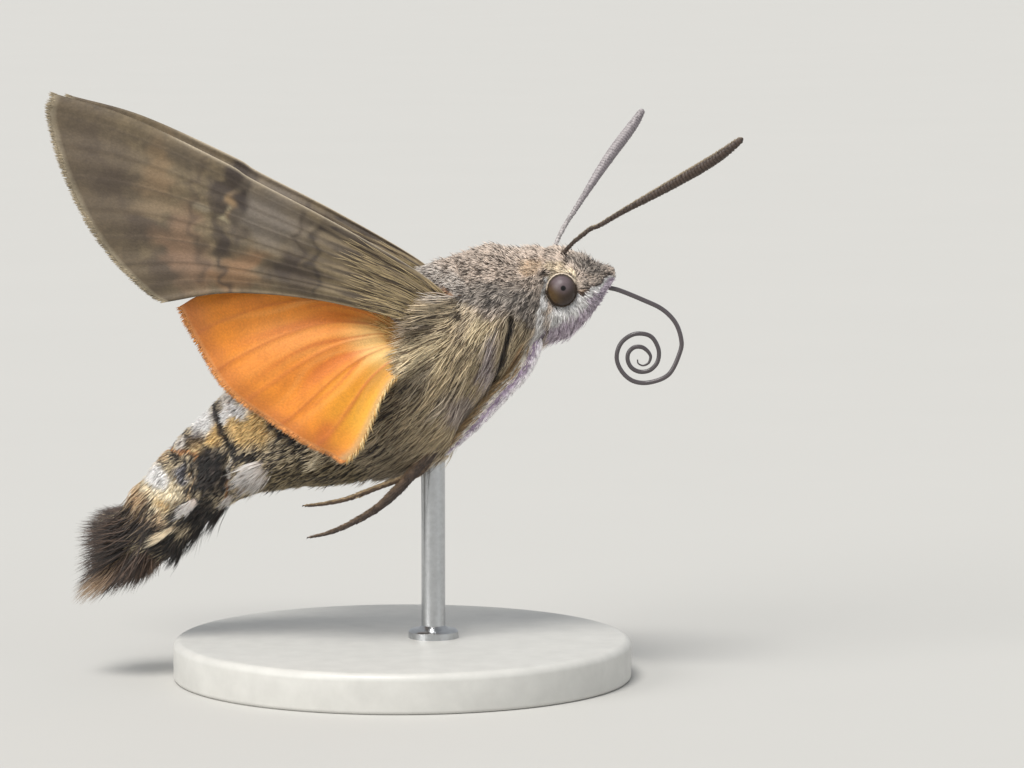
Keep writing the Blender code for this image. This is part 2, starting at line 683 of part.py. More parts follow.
def coons(costa, margin, dorsum, u, v):
    """A point of the surface stretched between the leading, outer, trailing and root edges."""
    root = costa[0] + (dorsum[0] - costa[0]) * v
    i = u * (len(costa) - 1)
    lead = at(costa, i)
    trail = at(dorsum, i)
    outer = at(margin, v * (len(margin) - 1))
    flat = ((1 - u) * (1 - v) * costa[0] + u * (1 - v) * costa[-1]
            + (1 - u) * v * dorsum[0] + u * v * dorsum[-1])
    return (1 - v) * lead + v * trail + (1 - u) * root + u * outer - flat


def at(points, i):
    low = min(int(i), len(points) - 2)
    return points[low] + (points[low + 1] - points[low]) * (i - low)


def lowered_to_left(points):
    """Mirrors wing points to the left side and turns them down about the forewing's root."""
    turn = math.radians(LEFT_WING_DROP)
    root = np.array(FORE_COSTA[0])
    x, z = points[:, 0] - root[0], points[:, 2] - root[2]
    return np.stack((root[0] + x * math.cos(turn) - z * math.sin(turn), -points[:, 1],
                     root[2] + x * math.sin(turn) + z * math.cos(turn)), axis=1)


def wing(name, costa, margin, dorsum, veins, mat, side):
    """A thin fan with its main veins raised along it on both faces; side is -1 on the left."""
    lead, outer, trail = (even(edge, EDGE_POINTS) for edge in (costa, margin, dorsum))
    lines = [(0.0, THIN_EDGE), (COSTA_PLACE, COSTA_THICKNESS)]
    for vein in veins:
        lines += [(vein - VEIN_HALF_WIDTH, 1.0), (vein, 1.0 + 2 * VEIN_HEIGHT / MEMBRANE),
                  (vein + VEIN_HALF_WIDTH, 1.0)]
    lines.append((1.0, THIN_EDGE))
    steps = list(np.linspace(0.0, LAST_STEP, WING_STEPS)) + [1.0]
    grid = np.array([[coons(lead, outer, trail, u, v) for v, _ in lines] for u in steps])
    along = np.gradient(grid, axis=0)
    across = np.gradient(grid, axis=1)
    normal = np.cross(along, across)
    normal /= np.linalg.norm(normal, axis=2)[..., None]
    if normal[..., 1].mean() > 0:
        normal = -normal
    half = np.array([[MEMBRANE / 2 * share for _, share in lines] for _ in steps])
    half[-1] *= THIN_EDGE
    outer_face = grid + normal * half[..., None]
    inner_face = grid - normal * half[..., None]
    points = np.vstack((outer_face.reshape(-1, 3), inner_face.reshape(-1, 3)))
    if side < 0:
        points = lowered_to_left(points)
    rows, cols = half.shape
    n = rows * cols
    faces = []
    for r in range(rows - 1):
        for c in range(cols - 1):
            p, q = r * cols + c, r * cols + c + 1
            s, t = p + cols, q + cols
            faces += [(p, s, q), (q, s, t), (n + p, n + q, n + s), (n + q, n + t, n + s)]
    border = (list(range(cols)) + [r * cols + cols - 1 for r in range(1, rows)]
              + [(rows - 1) * cols + c for c in range(cols - 2, -1, -1)]
              + [r * cols for r in range(rows - 2, 0, -1)])
    for p, q in zip(border, border[1:] + border[:1]):
        faces += [(p, q, n + q), (p, n + q, n + p)]
    obj = new_object(name, points, faces, mat, model)
    outside(obj)
    return obj


def build_wings(clearance):
    for label, side in (("right", 1), ("left", -1)):
        fore = wing("forewing_" + label, FORE_COSTA, FORE_MARGIN, FORE_DORSUM, FORE_VEINS,
                    wing_brown, side)
        combine(fore, [clearance], "DIFFERENCE", "MANIFOLD")
        hind = wing("hindwing_" + label, HIND_COSTA, HIND_MARGIN, HIND_INNER, HIND_VEINS,
                    wing_orange, side)
        combine(hind, [clearance], "DIFFERENCE", "MANIFOLD")


# Feelers, tongue and legs

def build_feelers(clearance):
    for name, path in (("antenna_right", ANTENNA_RIGHT), ("antenna_left", ANTENNA_LEFT)):
        feeler = tube(name, path, ANTENNA_RADII, horn_brown, model, FEELER_POINTS)
        combine(feeler, [clearance], "DIFFERENCE")


def build_tongue(clearance):
    """A free stretch that runs on into a flat coil of more than one and a half turns."""
    path = [(x, 0.0, z) for x, z in TONGUE_FREE[:-1]]
    for k, radius in enumerate(COIL_RADII):
        angle = math.radians(COIL_START - COIL_STEP * k)
        path.append((COIL_CENTRE[0] + radius * math.cos(angle), 0.0,
                     COIL_CENTRE[1] + radius * math.sin(angle)))
    radii = np.linspace(1.0, 0.0, len(path)) ** TONGUE_TAPER
    radii = TONGUE_TIP_RADIUS + (TONGUE_ROOT_RADIUS - TONGUE_TIP_RADIUS) * radii
    tongue = tube("proboscis", path, radii, horn_dark, model, TONGUE_POINTS)
    combine(tongue, [clearance], "DIFFERENCE")


def build_legs(clearance):
    for label, side in (("right", 1), ("left", -1)):
        for kind, path, radii, drop in LEGS:
            route = leg_route(path, drop, side)
            leg = tube(kind + "_" + label, route, radii, scale_brown, model, LEG_POINTS)
            combine(leg, [clearance], "DIFFERENCE")


# Stand

def build_stand(clearance):
    bm = bmesh.new()
    bmesh.ops.create_cone(bm, cap_ends=True, segments=BASE_SEGMENTS, radius1=BASE_RADIUS * MM,
                          radius2=BASE_RADIUS * MM, depth=BASE_HEIGHT * MM)
    mesh = bpy.data.meshes.new("stand_base")
    bm.to_mesh(mesh)
    bm.free()
    mesh.materials.append(stand_grey)
    base = bpy.data.objects.new("stand_base", mesh)
    base.location.z = BASE_HEIGHT / 2 * MM
    model.objects.link(base)
    rounding = base.modifiers.new("rounding", "BEVEL")
    rounding.width = BASE_ROUNDING * MM
    rounding.segments = 2
    rounding.limit_method = "ANGLE"
    rod = tube("stand_rod", ((ROD_X, 0.0, BASE_HEIGHT + GAP), (ROD_X, 0.0, ROD_TOP)),
               (ROD_RADIUS, ROD_RADIUS), stand_steel, model, 4)
    combine(rod, [clearance], "DIFFERENCE")


for old in list(bpy.data.objects):
    bpy.data.objects.remove(old)
scene = bpy.context.scene
model = bpy.data.collections.new("hummingbird_hawk_moth")
scene.collection.children.link(model)
cutters = bpy.data.collections.new("cutters")
cutters.hide_render = True
scene.collection.children.link(cutters)

fur_grey = material("fur_grey", (0.30, 0.26, 0.21), 0.9)
fur_white = material("fur_white", (0.72, 0.69, 0.70), 0.9)
fur_dark = material("fur_dark", (0.06, 0.05, 0.045), 0.9)
eye_brown = material("eye_brown", (0.11, 0.075, 0.06), 0.25)
wing_brown = material("wing_brown", (0.22, 0.17, 0.13), 0.8)
wing_orange = material("wing_orange", (0.80, 0.28, 0.06), 0.75)
horn_brown = material("horn_brown", (0.10, 0.075, 0.06), 0.6)
horn_dark = material("horn_dark", (0.10, 0.085, 0.08), 0.35)
scale_brown = material("scale_brown", (0.20, 0.15, 0.11), 0.8)
stand_grey = material("stand_grey", (0.55, 0.55, 0.54), 0.5)
stand_steel = material("stand_steel", (0.62, 0.62, 0.62), 0.3, 1.0)

clearance = clearance_body()
build_head()
build_body()
build_wings(clearance)
build_feelers(clearance)
build_tongue(clearance)
build_legs(clearance)
build_stand(clearance)
remove([clearance])
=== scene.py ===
"""Hummingbird hawk moth on its display stand, dressed as in life.

Lengths are in millimetres and are scaled to metres as each mesh is made.  The head points to +X, the
moth's right side to -Y, and +Z is up.
"""
import math

import bpy
import numpy as np
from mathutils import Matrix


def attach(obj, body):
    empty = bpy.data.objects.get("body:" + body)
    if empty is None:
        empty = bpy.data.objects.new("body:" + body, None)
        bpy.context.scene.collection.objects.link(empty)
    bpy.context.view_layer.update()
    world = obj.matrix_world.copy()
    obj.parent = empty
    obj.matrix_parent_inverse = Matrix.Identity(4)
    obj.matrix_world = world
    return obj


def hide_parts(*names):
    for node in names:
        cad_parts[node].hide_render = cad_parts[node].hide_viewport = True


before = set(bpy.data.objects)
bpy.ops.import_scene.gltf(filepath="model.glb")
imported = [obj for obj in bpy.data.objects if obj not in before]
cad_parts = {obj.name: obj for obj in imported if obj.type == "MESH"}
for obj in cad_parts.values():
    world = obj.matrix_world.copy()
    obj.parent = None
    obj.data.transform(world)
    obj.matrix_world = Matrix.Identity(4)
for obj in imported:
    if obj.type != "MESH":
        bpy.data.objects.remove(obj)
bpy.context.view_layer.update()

MM = 0.001

# Body outline from the side: (back x, back z, belly x, belly z, half width), from the snout to the tail.
BODY_RINGS = (
    (10.38, 20.66, 10.50, 20.00, 0.42), (9.85, 20.88, 10.10, 19.20, 0.95), (9.20, 21.20, 9.62, 18.45, 1.32),
    (8.60, 21.50, 9.02, 17.78, 1.60), (7.95, 21.68, 8.30, 17.25, 1.80), (7.25, 21.80, 7.60, 17.02, 2.00),
    (6.55, 21.80, 7.00, 16.75, 2.20), (5.50, 21.65, 5.95, 16.05, 2.75), (4.45, 21.88, 5.05, 15.15, 3.20),
    (3.20, 21.50, 4.05, 14.00, 3.40), (1.90, 21.10, 3.00, 12.85, 3.40), (0.60, 20.60, 2.35, 11.50, 3.30),
    (-0.70, 19.85, 1.30, 10.75, 3.20), (-2.00, 18.95, 0.20, 10.45, 3.15), (-3.60, 17.90, -1.30, 10.10, 3.35),
    (-5.40, 16.80, -3.20, 9.78, 3.55), (-7.10, 15.75, -5.10, 9.60, 3.60), (-8.60, 14.75, -6.75, 9.35, 3.50),
    (-9.75, 13.60, -7.95, 8.95, 3.30), (-10.90, 12.60, -9.15, 8.35, 3.05),
    (-11.80, 11.60, -10.05, 7.60, 2.70), (-12.65, 10.60, -10.70, 6.95, 2.35),
    (-13.40, 9.60, -11.40, 6.35, 2.00), (-13.95, 8.70, -12.20, 5.95, 1.60),
)
COAT_DEPTH = 0.24              # skin below the body's outline
THIN_SHARE = 0.30              # no deeper than this share of the body's half height
# SKIN_SHADE darkens the skin below the hairs: painted shade under the coat.
SKIN_SHADE = 0.60              # the skin's colours as a share of its hairs' colours
SNOUT_TIP = (10.50, 0.0, 20.36)
BODY_END = (-14.0, 0.0, 7.2)

EYE_CENTRE = np.array((7.96, -1.36, 19.65))
EYE_RADII = (0.73, 0.80, 0.80)
SOCKET_RADIUS = 0.90
SOCKET_EDGE = 1.24
SOCKET_SIDE = 1.34             # the skin round the eye is no further out than this
EYE_FACET = 0.034              # distance from one facet to the next
# The eye's mauve-grey upper part: partly its own colour, partly painted sheen.
EYE_TOP_AND_SHEEN = (97, 85, 88)
# Tones laid over it: a point counted from the eye's outermost one, near and far distance, the tone's share
# within the near one and beyond the far one, colour.
EYE_TONES = (
    ((-0.05, -0.1, 0.55), 0.20, 0.95, 0.0, 1.0, (52, 39, 30)),
    ((-0.52, -0.3, -0.30), 0.10, 0.80, 0.75, 0.0, (88, 67, 36)),
    ((0.08, 0.0, 0.14), 0.15, 0.34, 0.40, 0.0, (84, 72, 74)),
    ((0.0, 0.0, 0.0), 0.74, 0.96, 0.0, 0.85, (32, 23, 17)),
    ((0.08, 0.0, 0.14), 0.10, 0.17, 1.0, 0.0, (6, 4, 4)),
)
RIM_HEIGHT = 0.10              # how far the scaled rim lies out from the eye's middle
RIM_RADIUS = 0.042
RIM_TONES = ((58, 44, 32), (206, 190, 170))    # below the eye and above it

# Lie of the coat in the side view: place (x, z), direction (x, z), length, height of the tips.
COMB = (
    (10.45, 20.45, 1.0, 0.05, 0.42, 0.18), (9.9, 20.8, 0.7, 0.4, 0.38, 0.28),
    (9.2, 21.1, 0.3, 0.7, 0.40, 0.34), (8.7, 20.9, -0.3, 0.9, 0.34, 0.16),
    (9.3, 20.2, 0.9, -0.1, 0.34, 0.14), (8.2, 21.5, -0.8, 0.5, 0.42, 0.32),
    (7.9, 20.85, -0.95, 0.1, 0.38, 0.14), (7.2, 20.6, -0.8, -0.4, 0.40, 0.16),
    (7.0, 19.9, -0.3, -1.0, 0.46, 0.14), (7.0, 18.8, -0.3, -1.0, 0.55, 0.16),
    (7.3, 18.2, -0.3, -1.0, 0.75, 0.22), (8.0, 18.5, 0.1, -1.0, 0.75, 0.20),
    (8.8, 18.8, 0.65, -0.75, 0.70, 0.20), (9.5, 19.3, 0.95, -0.3, 0.60, 0.20),
    (10.1, 19.8, 1.0, 0.0, 0.42, 0.18), (8.4, 17.6, 0.1, -1.0, 0.75, 0.28),
    (7.5, 17.3, -0.25, -1.0, 0.80, 0.26), (6.9, 17.0, -0.45, -0.9, 0.90, 0.20),
    (7.0, 21.6, -1.0, 0.1, 0.45, 0.22), (5.5, 21.5, -1.0, 0.1, 0.45, 0.24),
    (4.3, 21.7, -1.0, 0.0, 0.50, 0.26), (2.5, 21.1, -1.0, -0.3, 0.50, 0.22),
    (0.5, 20.3, -0.9, -0.45, 0.60, 0.22), (5.3, 20.2, -0.9, -0.35, 0.42, 0.16),
    (3.6, 19.9, -0.95, -0.3, 0.44, 0.16), (6.2, 18.9, -0.7, -0.7, 0.45, 0.15),
    (4.6, 19.0, -0.75, -0.6, 0.48, 0.18), (3.0, 18.6, -0.7, -0.7, 0.75, 0.25),
    (4.4, 17.9, -0.55, -0.85, 1.70, 0.42), (5.0, 17.3, -0.15, -1.0, 1.50, 0.36),
    (4.7, 15.9, -0.15, -1.0, 1.70, 0.36), (4.2, 14.6, -0.35, -0.95, 1.50, 0.34),
    (5.7, 17.3, -0.35, -0.95, 1.20, 0.26), (5.2, 15.6, -0.50, -0.85, 1.40, 0.40),
    (6.2, 16.6, -0.5, -0.87, 1.20, 0.34), (4.8, 14.1, -0.65, -0.75, 1.50, 0.44),
    (3.4, 12.9, -0.72, -0.70, 1.90, 0.62), (3.0, 16.5, -0.55, -0.83, 2.00, 0.48),
    (2.0, 15.0, -0.60, -0.80, 2.10, 0.48), (3.2, 14.2, -0.52, -0.85, 1.90, 0.44),
    (1.2, 13.4, -0.72, -0.70, 1.90, 0.46), (1.5, 17.6, -0.85, -0.55, 1.60, 0.40),
    (0.2, 16.0, -0.80, -0.60, 1.50, 0.34), (0.0, 12.3, -0.80, -0.58, 1.60, 0.40),
    (1.6, 11.6, -0.75, -0.65, 1.90, 0.60), (-1.0, 18.5, -0.9, -0.45, 0.85, 0.26),
    (-2.5, 17.0, -0.9, -0.45, 0.75, 0.22), (-2.0, 13.5, -0.92, -0.38, 0.95, 0.24),
    (-2.0, 10.8, -1.0, -0.15, 0.90, 0.36), (-5.0, 14.0, -0.85, -0.52, 0.62, 0.18),
    (-5.5, 10.3, -0.98, -0.2, 0.70, 0.30), (-7.3, 13.2, -0.80, -0.60, 0.62, 0.17),
    (-7.5, 10.0, -0.90, -0.45, 0.60, 0.17), (-9.6, 12.2, -0.68, -0.72, 0.58, 0.17),
    (-9.3, 9.2, -0.78, -0.62, 0.60, 0.17), (-11.6, 10.2, -0.62, -0.78, 0.62, 0.18),
    (-11.0, 7.5, -0.80, -0.60, 1.20, 0.36), (-13.2, 8.9, -0.72, -0.70, 1.10, 0.26),
    (-12.2, 6.4, -0.80, -0.60, 1.70, 0.45),
)

# Coats: light hairs, dark hairs, share of dark ones.
COATS = {
    "ash": ((222, 205, 190), (98, 86, 76), 0.30),
    "frost": ((226, 219, 211), (130, 120, 114), 0.15),
    "tan": ((222, 190, 150), (146, 116, 86), 0.18),
    "pepper": ((178, 168, 158), (76, 70, 66), 0.38),
    "straw": ((210, 190, 154), (108, 92, 72), 0.22),
    "wheat": ((232, 214, 176), (146, 124, 92), 0.15),
    "lilac": ((192, 180, 184), (118, 106, 110), 0.24),
    "mauve": ((212, 196, 210), (150, 130, 150), 0.25),
    "snow": ((250, 248, 246), (196, 190, 190), 0.05),
    "violet": ((128, 108, 130), (76, 62, 80), 0.4),
    "rufous": ((172, 132, 92), (110, 80, 56), 0.3),
    "cocoa": ((84, 64, 54), (46, 36, 31), 0.5),
    "olive": ((136, 120, 88), (60, 52, 40), 0.42),
    "grizzle": ((208, 190, 158), (62, 54, 48), 0.42),
    "soot": ((66, 57, 52), (28, 24, 22), 0.75),
    "ochre": ((242, 206, 140), (196, 156, 98), 0.03),
    "cream": ((252, 238, 208), (220, 194, 152), 0.03),
    "rust": ((196, 138, 82), (116, 76, 50), 0.3),
    # slate: dark scales whose blue-grey light hairs are painted sheen.
    "slate_sheen": ((140, 144, 160), (54, 54, 62), 0.42),
    "umber": ((116, 94, 74), (48, 38, 32), 0.5),
}
# Marks on the body in the side view: coat, x, z, half length, half height, tilt in degrees, strength.
BODY_MARKS = (
    ("frost", 1.2, 20.3, 2.6, 0.75, -22, 0.75), ("tan", 6.45, 20.80, 0.6, 0.4, 0, 0.5),
    ("wheat", 7.7, 20.75, 0.6, 0.25, 0, 0.5), ("pepper", 6.05, 18.75, 1.0, 0.95, 0, 0.85),
    # The small umber spot at (7.13, 20.39) is painted shadow in the pit behind the eye.
    ("umber", 7.13, 20.39, 0.13, 0.12, 0, 0.8), ("pepper", 9.2, 20.95, 1.0, 0.40, -25, 0.7),
    ("pepper", 4.2, 19.5, 1.6, 0.65, 0, 0.85), ("wheat", 3.2, 18.4, 1.2, 0.55, -35, 0.5),
    ("straw", 1.6, 18.5, 1.3, 0.8, -30, 0.8), ("straw", 1.8, 14.6, 3.9, 3.5, 0, 1.0),
    ("straw", 5.2, 17.2, 1.2, 1.2, 0, 0.8), ("wheat", 4.0, 17.7, 0.7, 0.7, 0, 0.8),
    ("wheat", 1.2, 16.6, 1.1, 0.9, 35, 0.7), ("lilac", 4.35, 16.2, 0.42, 1.35, -6, 0.75),
    ("lilac", 3.1, 13.9, 0.7, 0.9, -35, 0.55), ("straw", 5.6, 16.3, 0.42, 1.5, -25, 0.8),
    ("lilac", 4.9, 14.5, 0.55, 0.9, -38, 0.7), ("pepper", 0.6, 15.0, 0.5, 1.4, -40, 0.45),
    ("pepper", 2.2, 14.3, 0.3, 1.2, -38, 0.5), ("olive", -2.2, 10.9, 3.6, 0.95, 2, 0.75),
    ("grizzle", -3.0, 14.0, 3.6, 3.6, -25, 0.9), ("olive", -4.5, 10.3, 3.0, 0.75, 5, 0.8),
    ("ochre", -7.56, 12.99, 1.15, 0.86, -35, 1.0), ("frost", -8.52, 14.27, 0.52, 0.30, 30, 0.9),
    ("ochre", -10.05, 11.90, 0.5, 0.4, -30, 0.5), ("snow", -8.34, 13.66, 0.95, 0.42, 18, 1.0),
    ("ochre", -9.19, 12.50, 0.52, 0.54, 0, 0.9), ("umber", -10.28, 12.32, 0.54, 0.30, 10, 0.8),
    ("snow", -10.02, 13.02, 0.70, 0.54, 20, 1.0), ("frost", -11.07, 11.89, 0.27, 0.36, -30, 0.9),
    ("tan", -12.17, 11.10, 0.60, 0.22, 50, 0.7), ("soot", -11.20, 11.34, 0.36, 0.22, 0, 0.8),
    ("soot", -9.48, 10.73, 0.91, 1.21, -10, 1.0), ("soot", -10.00, 8.72, 0.72, 0.72, 0, 0.9),
    # The blue-grey patch at (-10.90, 10.49) is dark scales with painted sheen.
    ("slate_sheen", -10.90, 10.49, 0.42, 0.54, -15, 0.8), ("cream", -12.00, 9.60, 0.92, 1.05, -20, 1.0),
    ("snow", -12.16, 10.22, 0.66, 0.52, 0, 1.0), ("ochre", -11.90, 9.00, 0.5, 0.3, -20, 0.6),
    ("umber", -12.91, 8.97, 0.42, 0.42, 0, 0.75), ("soot", -12.37, 8.54, 0.18, 0.18, 0, 0.85),
    ("tan", -12.01, 8.17, 0.36, 0.48, 0, 0.7), ("tan", -13.60, 9.15, 0.95, 0.50, -48, 0.85),
    ("cream", -4.3, 11.4, 0.30, 0.8, -20, 0.6), ("soot", -9.65, 7.90, 2.0, 0.7, -28, 0.9),
    ("soot", -11.65, 6.70, 1.5, 0.9, -40, 0.9), ("umber", -13.25, 7.70, 0.7, 0.8, 0, 0.8),
    ("rufous", 8.92, 19.62, 0.22, 0.15, 0, 0.9), ("rust", 2.27, 19.59, 0.34, 0.22, -40, 0.7),
    # The soot spot at (2.79, 18.65) is painted shade in the hollow below the tubercle at the wing's root.
    ("soot", 2.79, 18.65, 0.22, 0.34, 20, 0.75),
)
# Lines on the body: coat, half width, strength, points (x, z).
BODY_LINES = (
    ("snow", 0.12, 1.0, ((7.14, 20.15), (7.03, 19.8), (7.02, 19.3), (7.14, 18.88))),
    ("snow", 0.22, 0.9, ((6.98, 18.4), (6.8, 17.4), (6.45, 16.4), (5.9, 15.5))),
    ("violet", 0.11, 0.8, ((7.0, 17.5), (6.6, 16.5), (6.1, 15.7), (5.4, 14.7))),
    ("rufous", 0.12, 0.75, ((6.0, 16.95), (5.65, 16.1), (5.2, 15.3), (4.6, 14.5))),
    ("cocoa", 0.07, 0.9, ((8.85, 19.42), (9.2, 19.68), (9.77, 19.88), (10.3, 20.2))),
    ("cocoa", 0.08, 0.9, ((10.28, 20.24), (10.44, 20.34))),
    ("soot", 0.12, 0.9, ((5.42, 18.3), (5.35, 17.79), (5.15, 16.7), (5.06, 16.21), (4.71, 15.12),
                         (4.36, 14.22))),
    # The first soot line on the abdomen follows the hindwing's edge: partly dark fur, partly painted shadow
    # of the wing.
    ("soot", 0.18, 0.85, ((-8.15, 14.68), (-6.54, 13.84), (-6.12, 12.92), (-5.21, 12.19))),
    ("soot", 0.17, 0.95, ((-9.55, 14.04), (-9.13, 13.55), (-8.95, 12.82), (-8.53, 12.19),
                          (-7.99, 11.52), (-7.32, 11.33))),
    ("frost", 0.06, 0.95, ((-8.31, 11.48), (-8.54, 10.91), (-8.61, 10.42))),
    ("rust", 0.05, 0.9, ((-8.65, 10.33), (-8.68, 9.75), (-8.55, 9.20))),
    ("rust", 0.07, 0.9, ((-11.68, 11.43), (-11.07, 11.67), (-10.29, 11.64), (-10.08, 11.39))),
    ("tan", 0.04, 0.7, ((-10.35, 10.48), (-10.45, 9.44))),
    ("umber", 0.12, 0.7, ((-14.25, 8.75), (-12.75, 7.70), (-11.65, 7.95))),
)
# Height of the border between the upper and the lower face, and the lower outline, at places x.
FACE_X = (6.9, 7.3, 8.1, 8.6, 8.8, 9.2, 9.77, 10.3, 10.7)
FACE_Z = (18.35, 18.75, 18.80, 19.05, 19.36, 19.66, 19.86, 20.2, 20.45)
CHIN_X = (6.9, 7.64, 8.59, 9.09, 9.64, 9.98, 10.28, 10.53)
CHIN_Z = (16.9, 17.11, 17.46, 17.91, 18.56, 19.16, 19.61, 20.06)

# Grooves and segment joins in the skin: depth, half width, points (x, z).
FOLDS = (
    (0.32, 0.17, ((5.42, 18.3), (5.35, 17.79), (5.15, 16.7), (5.06, 16.21), (4.71, 15.12),
                  (4.36, 14.22))),
    (0.16, 0.25, ((7.15, 21.9), (6.85, 20.4))),
    (0.16, 0.14, ((-7.77, 15.1), (-8.12, 14.35), (-8.62, 12.86), (-8.53, 11.82), (-8.69, 10.77),
                  (-8.5, 9.2))),
    (0.15, 0.14, ((-11.62, 12.2), (-11.55, 11.57), (-10.94, 11.27), (-10.42, 10.66), (-10.35, 9.5),
                  (-10.2, 8.4))),
    (0.12, 0.14, ((-6.95, 16.0), (-6.83, 14.12), (-5.95, 12.87), (-4.97, 11.78), (-4.9, 9.6))),
    (0.14, 0.16, ((-14.3, 9.0), (-12.68, 7.9), (-11.61, 7.4))),
    (0.12, 0.2, ((2.6, 20.9), (3.4, 19.6), (3.3, 18.6))),
    (-0.26, 0.26, ((2.12, 19.66), (2.42, 19.50))),
    (0.24, 0.22, ((2.75, 18.8), (2.83, 18.5))),
)

# Wings of the right side: leading, outer and trailing edge from the root outwards, and the veins.
FORE_EDGES = (
    ((2.60, -2.2, 19.00), (2.05, -3.2, 19.75), (0.49, -3.9, 21.03), (-3.39, -4.8, 23.36),
     (-7.16, -5.4, 25.41), (-8.41, -5.6, 26.20), (-13.04, -5.95, 28.45), (-16.76, -6.0, 29.62)),
    ((-16.76, -6.0, 29.62), (-16.95, -5.95, 28.31), (-16.01, -5.85, 25.17),
     (-14.38, -5.65, 22.15), (-12.32, -5.45, 19.95), (-11.44, -5.4, 19.39)),
    ((1.30, -2.2, 17.95), (0.55, -3.7, 18.15), (-0.58, -4.4, 18.62), (-4.48, -4.9, 19.52),
     (-8.40, -5.2, 19.82), (-11.44, -5.4, 19.39)),
)
FORE_VEINS = (0.08, 0.20, 0.34, 0.48, 0.62, 0.76, 0.89)
HIND_EDGES = (
    ((1.40, -2.2, 17.20), (0.20, -2.85, 17.75), (-0.99, -3.25, 18.75), (-3.93, -3.75, 20.20),
     (-6.87, -4.0, 20.35), (-9.57, -4.1, 19.72), (-10.80, -4.1, 19.08)),
    ((-10.80, -4.1, 19.08), (-10.22, -4.15, 17.85), (-8.46, -4.3, 15.05),
     (-5.41, -4.55, 12.91), (-2.70, -4.85, 11.46)),
    ((1.20, -2.2, 15.80), (0.50, -3.9, 16.40), (0.06, -4.7, 16.00), (-0.82, -4.95, 14.78),
     (-1.91, -4.95, 12.31), (-2.70, -4.85, 11.46)),
)
HIND_VEINS = (0.14, 0.32, 0.50, 0.68, 0.86)
LEFT_WING_DROP = 1.9           # degrees that the far wings are lowered about their roots
MEMBRANE = 0.11                # thickness between the veins
VEIN_HEIGHT = 0.055            # how far a vein stands over each face near the root
VEIN_WIDTH = 0.075
PLEAT_HEIGHT = 0.10            # how far the membrane rises and sinks between the veins
WING_LENGTH = 20.0             # the length along a wing that hairs and edges are measured by
WING_TONE = 0.91               # both wings' colours as a whole
WING_SCALE_ROWS = (150.0, 95.0, 1.0)
WING_HAIR_STEPS = (0 / 3, 1 / 3, 2 / 3, 3 / 3)    # a hair's joints as shares of its length
# Marks on the wings: colour, x, z, half length, half height, tilt, strength.
FORE_BASE = (112, 97, 73)
FORE_MARKS = (
    ((116, 107, 98), -6.6, 23.6, 2.2, 1.2, -30, 0.75), ((112, 100, 86), -2.9, 22.1, 1.8, 0.8, -32, 0.5),
    ((92, 79, 65), -14.2, 26.0, 1.6, 2.6, 25, 0.7), ((76, 63, 50), -13.83, 25.35, 0.85, 0.62, 0, 0.8),
    ((78, 65, 53), -12.5, 23.1, 1.0, 0.75, -20, 0.85), ((80, 66, 54), -11.1, 23.1, 0.5, 0.42, 0, 0.6),
    ((80, 66, 54), -11.3, 21.1, 0.85, 1.05, -35, 0.8), ((96, 84, 70), -10.8, 26.7, 1.6, 0.6, -28, 0.5),
    ((134, 110, 80), -11.65, 26.0, 0.52, 1.15, 5, 0.65), ((134, 110, 82), -11.8, 25.1, 0.85, 0.6, 0, 0.6),
    ((136, 116, 90), -11.5, 24.05, 1.5, 0.36, 5, 0.75), ((136, 108, 84), -10.4, 23.1, 0.65, 0.9, 0, 0.75),
    ((138, 108, 84), -10.8, 21.9, 1.4, 0.6, -40, 0.7), ((134, 106, 84), -9.9, 21.0, 1.0, 1.1, -30, 0.65),
    ((144, 108, 76), -7.5, 21.4, 0.9, 0.42, 15, 0.7), ((142, 104, 70), -8.2, 20.6, 1.3, 0.6, 0, 0.6),
    ((58, 46, 37), -5.5, 21.1, 1.1, 0.65, 18, 0.9), ((62, 49, 40), -4.6, 20.4, 1.0, 0.6, 10, 0.7),
    ((54, 42, 34), -7.95, 25.6, 0.62, 0.50, -40, 0.95), ((56, 44, 35), -8.45, 25.0, 0.52, 0.42, 30, 0.9),
    ((52, 41, 33), -7.72, 24.45, 0.30, 0.62, -25, 0.95), ((58, 46, 37), -8.55, 22.15, 0.38, 0.62, 20, 0.9),
    ((66, 54, 44), -8.9, 24.2, 0.36, 0.85, 20, 0.7), ((66, 55, 46), -7.9, 22.9, 0.38, 1.0, 10, 0.65),
    ((142, 114, 78), -8.2, 24.25, 0.28, 0.52, -20, 0.8), ((176, 162, 130), -8.65, 23.6, 0.26, 0.24, 0, 0.95),
    ((158, 146, 124), -9.6, 24.0, 0.40, 0.24, 0, 0.6), ((54, 43, 36), -3.3, 23.1, 0.75, 0.34, -32, 0.9),
    ((62, 51, 42), -1.9, 22.35, 0.55, 0.26, -32, 0.75),
)
FORE_LINES = (
    ((50, 40, 33), 0.13, 0.85, ((-3.7, 23.2), (-4.3, 22.4), (-4.05, 21.7), (-4.3, 21.1), (-3.9, 20.4),
                                (-4.1, 19.7))),
    ((60, 48, 39), 0.12, 0.65, ((-4.5, 23.6), (-5.0, 22.6), (-4.7, 21.8), (-5.1, 21.0))),
    ((58, 47, 38), 0.13, 0.7, ((-8.2, 25.9), (-8.9, 25.0), (-8.6, 24.2), (-9.0, 23.3), (-8.5, 22.3),
                               (-8.8, 21.2), (-8.3, 20.0))),
    ((74, 61, 49), 0.16, 0.55, ((-9.3, 26.4), (-10.1, 25.2), (-9.9, 24.3), (-10.3, 23.3), (-9.7, 22.0),
                                (-9.6, 20.6))),
    ((82, 69, 56), 0.20, 0.5, ((-14.6, 28.9), (-14.9, 27.2), (-13.9, 25.0), (-12.6, 22.9),
                               (-11.2, 20.5))),
)
HIND_BASE = (227, 135, 30)
